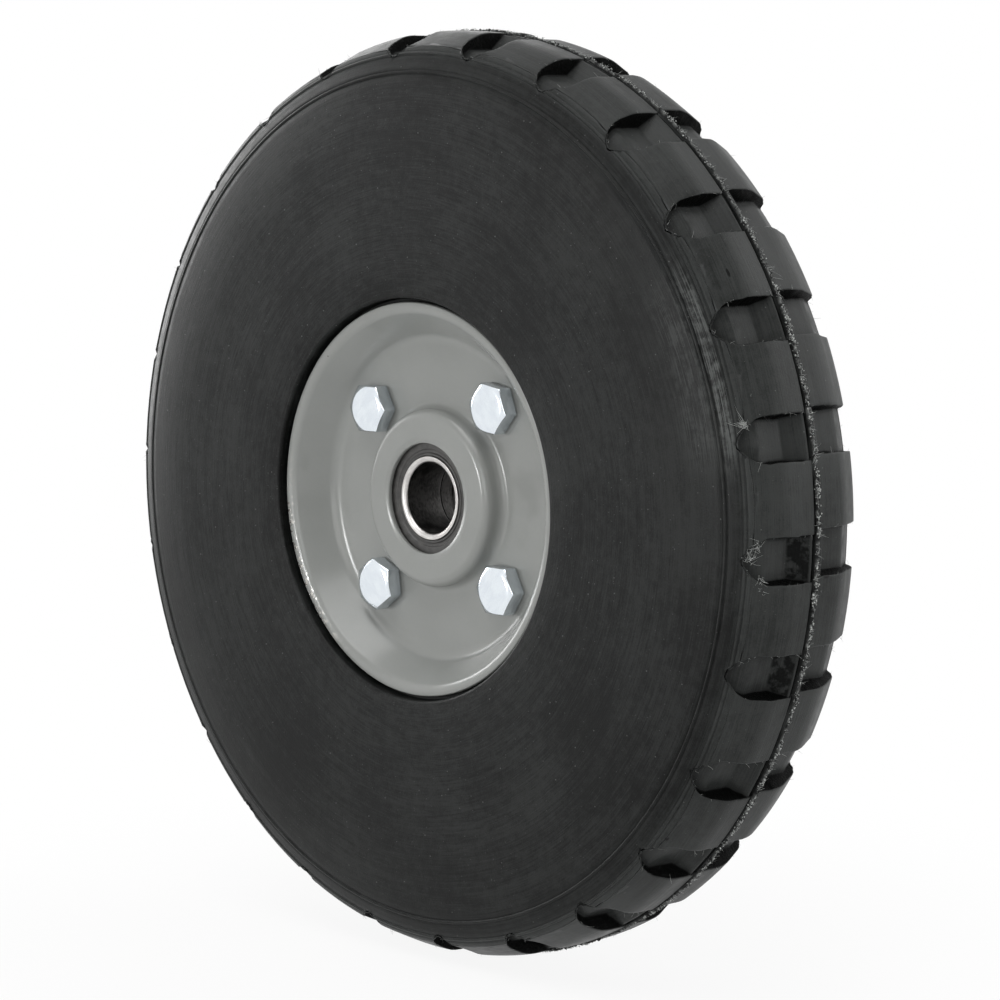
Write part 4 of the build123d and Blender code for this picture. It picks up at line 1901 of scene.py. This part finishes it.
@dataclass
class Studio:
    """Camera, floor, lamps and world round the wheel."""

    focal_pixels: float = 3300.0
    picture_pixels: float = 1000.0
    sensor: float = 36.0
    turn: float = 47.08
    rise: float = 6.15
    distance: float = 0.935
    shift_x_pixels: float = 29.6
    shift_y_pixels: float = -5.9
    floor_gap: float = 0.0009
    near_glow: float = 0.90
    glow_start: float = 0.06
    glow_end: float = 0.26
    plain_level: float = 0.06
    shaded_level: float = 0.16
    floor_reach: float = 8.0
    lamps: tuple[Lamp, ...] = (
        Lamp("strip_softbox", -17.0, 5.0, 2.4, 0.38, 14.0),
        Lamp("left_softbox", -88.0, 8.0, 2.2, 1.2, 26.0),
        Lamp("back_left_softbox", -120.0, 20.0, 2.2, 1.2, 8.0),
        Lamp("top_softbox", 20.0, 68.0, 2.2, 1.8, 29.0),
        Lamp("front_softbox", 32.0, 12.0, 2.4, 1.4, 12.0),
        Lamp("right_softbox", 112.0, 4.0, 2.4, 1.4, 17.0),
        Lamp("back_right_softbox", 145.0, 30.0, 2.4, 2.0, 25.0),
    )

    def camera(self) -> None:
        """Place the camera at the photograph's viewing angle, looking at the wheel's centre."""
        lens = bpy.data.cameras.new("camera")
        lens.sensor_width = self.sensor
        lens.lens = self.focal_pixels * self.sensor / self.picture_pixels
        lens.shift_x = self.shift_x_pixels / self.picture_pixels
        lens.shift_y = self.shift_y_pixels / self.picture_pixels
        lens.clip_end = 50.0
        camera = bpy.data.objects.new("camera", lens)
        stand(camera, self.turn, self.rise, self.distance)
        bpy.context.scene.camera = camera

    def floor(self) -> None:
        """Lay the pale floor just under the tread's flash."""
        low, _ = box_mm("tyre")
        height = float(low[2]) - self.floor_gap / MM
        reach = self.floor_reach / MM
        corners = np.array([[[-reach, -reach, height], [reach, -reach, height]],
                            [[-reach, reach, height], [reach, reach, height]]])
        cloth = Patchwork()
        cloth.add(corners, flip=True)
        piece = cloth.build("floor", smooth=False)
        graph = Graph("pale_floor")
        graph.set(Base_Color=(0.86, 0.86, 0.86, 1), Roughness=0.9)
        x, y, _ = graph.split(graph.place())
        away = graph.math("SQRT", graph.plus(graph.times(x, x), graph.times(y, y)))
        seen = graph.times(graph.seen(), graph.span(away, self.glow_start, self.glow_end, self.near_glow, 1.0))
        mirrored = graph.times(graph.mirrored(), graph.span(x, 0.0, 0.5, 1.0, 0.0))
        mix = graph.add("MixShader")
        glow = graph.add("Emission", Color=(1, 1, 1, 1))
        for socket, value in zip(mix.inputs, (graph.math("MAXIMUM", seen, mirrored), graph.shader.outputs[0],
                                              glow.outputs[0])):
            graph.put(socket, value)
        graph.put(graph.output.inputs["Surface"], mix.outputs[0])
        dress(piece, graph.material)

    def world(self) -> None:
        """Make the world: plain light on the wheel, and white behind it in the picture and in its gloss.

        The side towards +X is shaded in the gloss, as a studio with its lamps on the other side shows it.
        """
        world = bpy.data.worlds.new("studio")
        bpy.context.scene.world = world
        world.use_nodes = True
        nodes = Nodes(world.node_tree)
        toward_x = nodes.split(nodes.add("TexCoord").outputs["Generated"])[0]
        shade = nodes.span(toward_x, 0.05, 0.50, 1.0, self.shaded_level, smooth=False)
        glossy = nodes.span(nodes.mirrored(), 0.0, 1.0, self.plain_level, shade, smooth=False)
        back = nodes.add("Background", Color=(1, 1, 1, 1), Strength=nodes.math("MAXIMUM", nodes.seen(), glossy))
        nodes.add("OutputWorld", Surface=back.outputs[0])

    def build(self) -> None:
        """Set up the whole studio."""
        self.camera()
        self.floor()
        self.world()
        for lamp in self.lamps:
            lamp.build()
        bpy.context.scene.view_settings.view_transform = "Standard"


def main() -> None:
    """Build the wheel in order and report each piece."""
    logging.basicConfig(level=logging.INFO, format="%(name)s: %(message)s")
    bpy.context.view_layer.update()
    Studio().build()
    finishes = Finishes()
    tyre = Tyre()
    pieces = [tyre.build(finishes), Flash(tyre).build(finishes)]
    pieces += [Plate(side).build(finishes) for side in Side]
    pieces += [Bolts().build(finishes), Nuts().build(finishes)]
    for side in Side:
        pieces += Bearing(side).build(finishes)
    Hub().build(finishes)
    for piece in pieces:
        LOG.info("%s: %d faces", piece.name, len(piece.data.polygons))


if __name__ == "__main__":
    main()
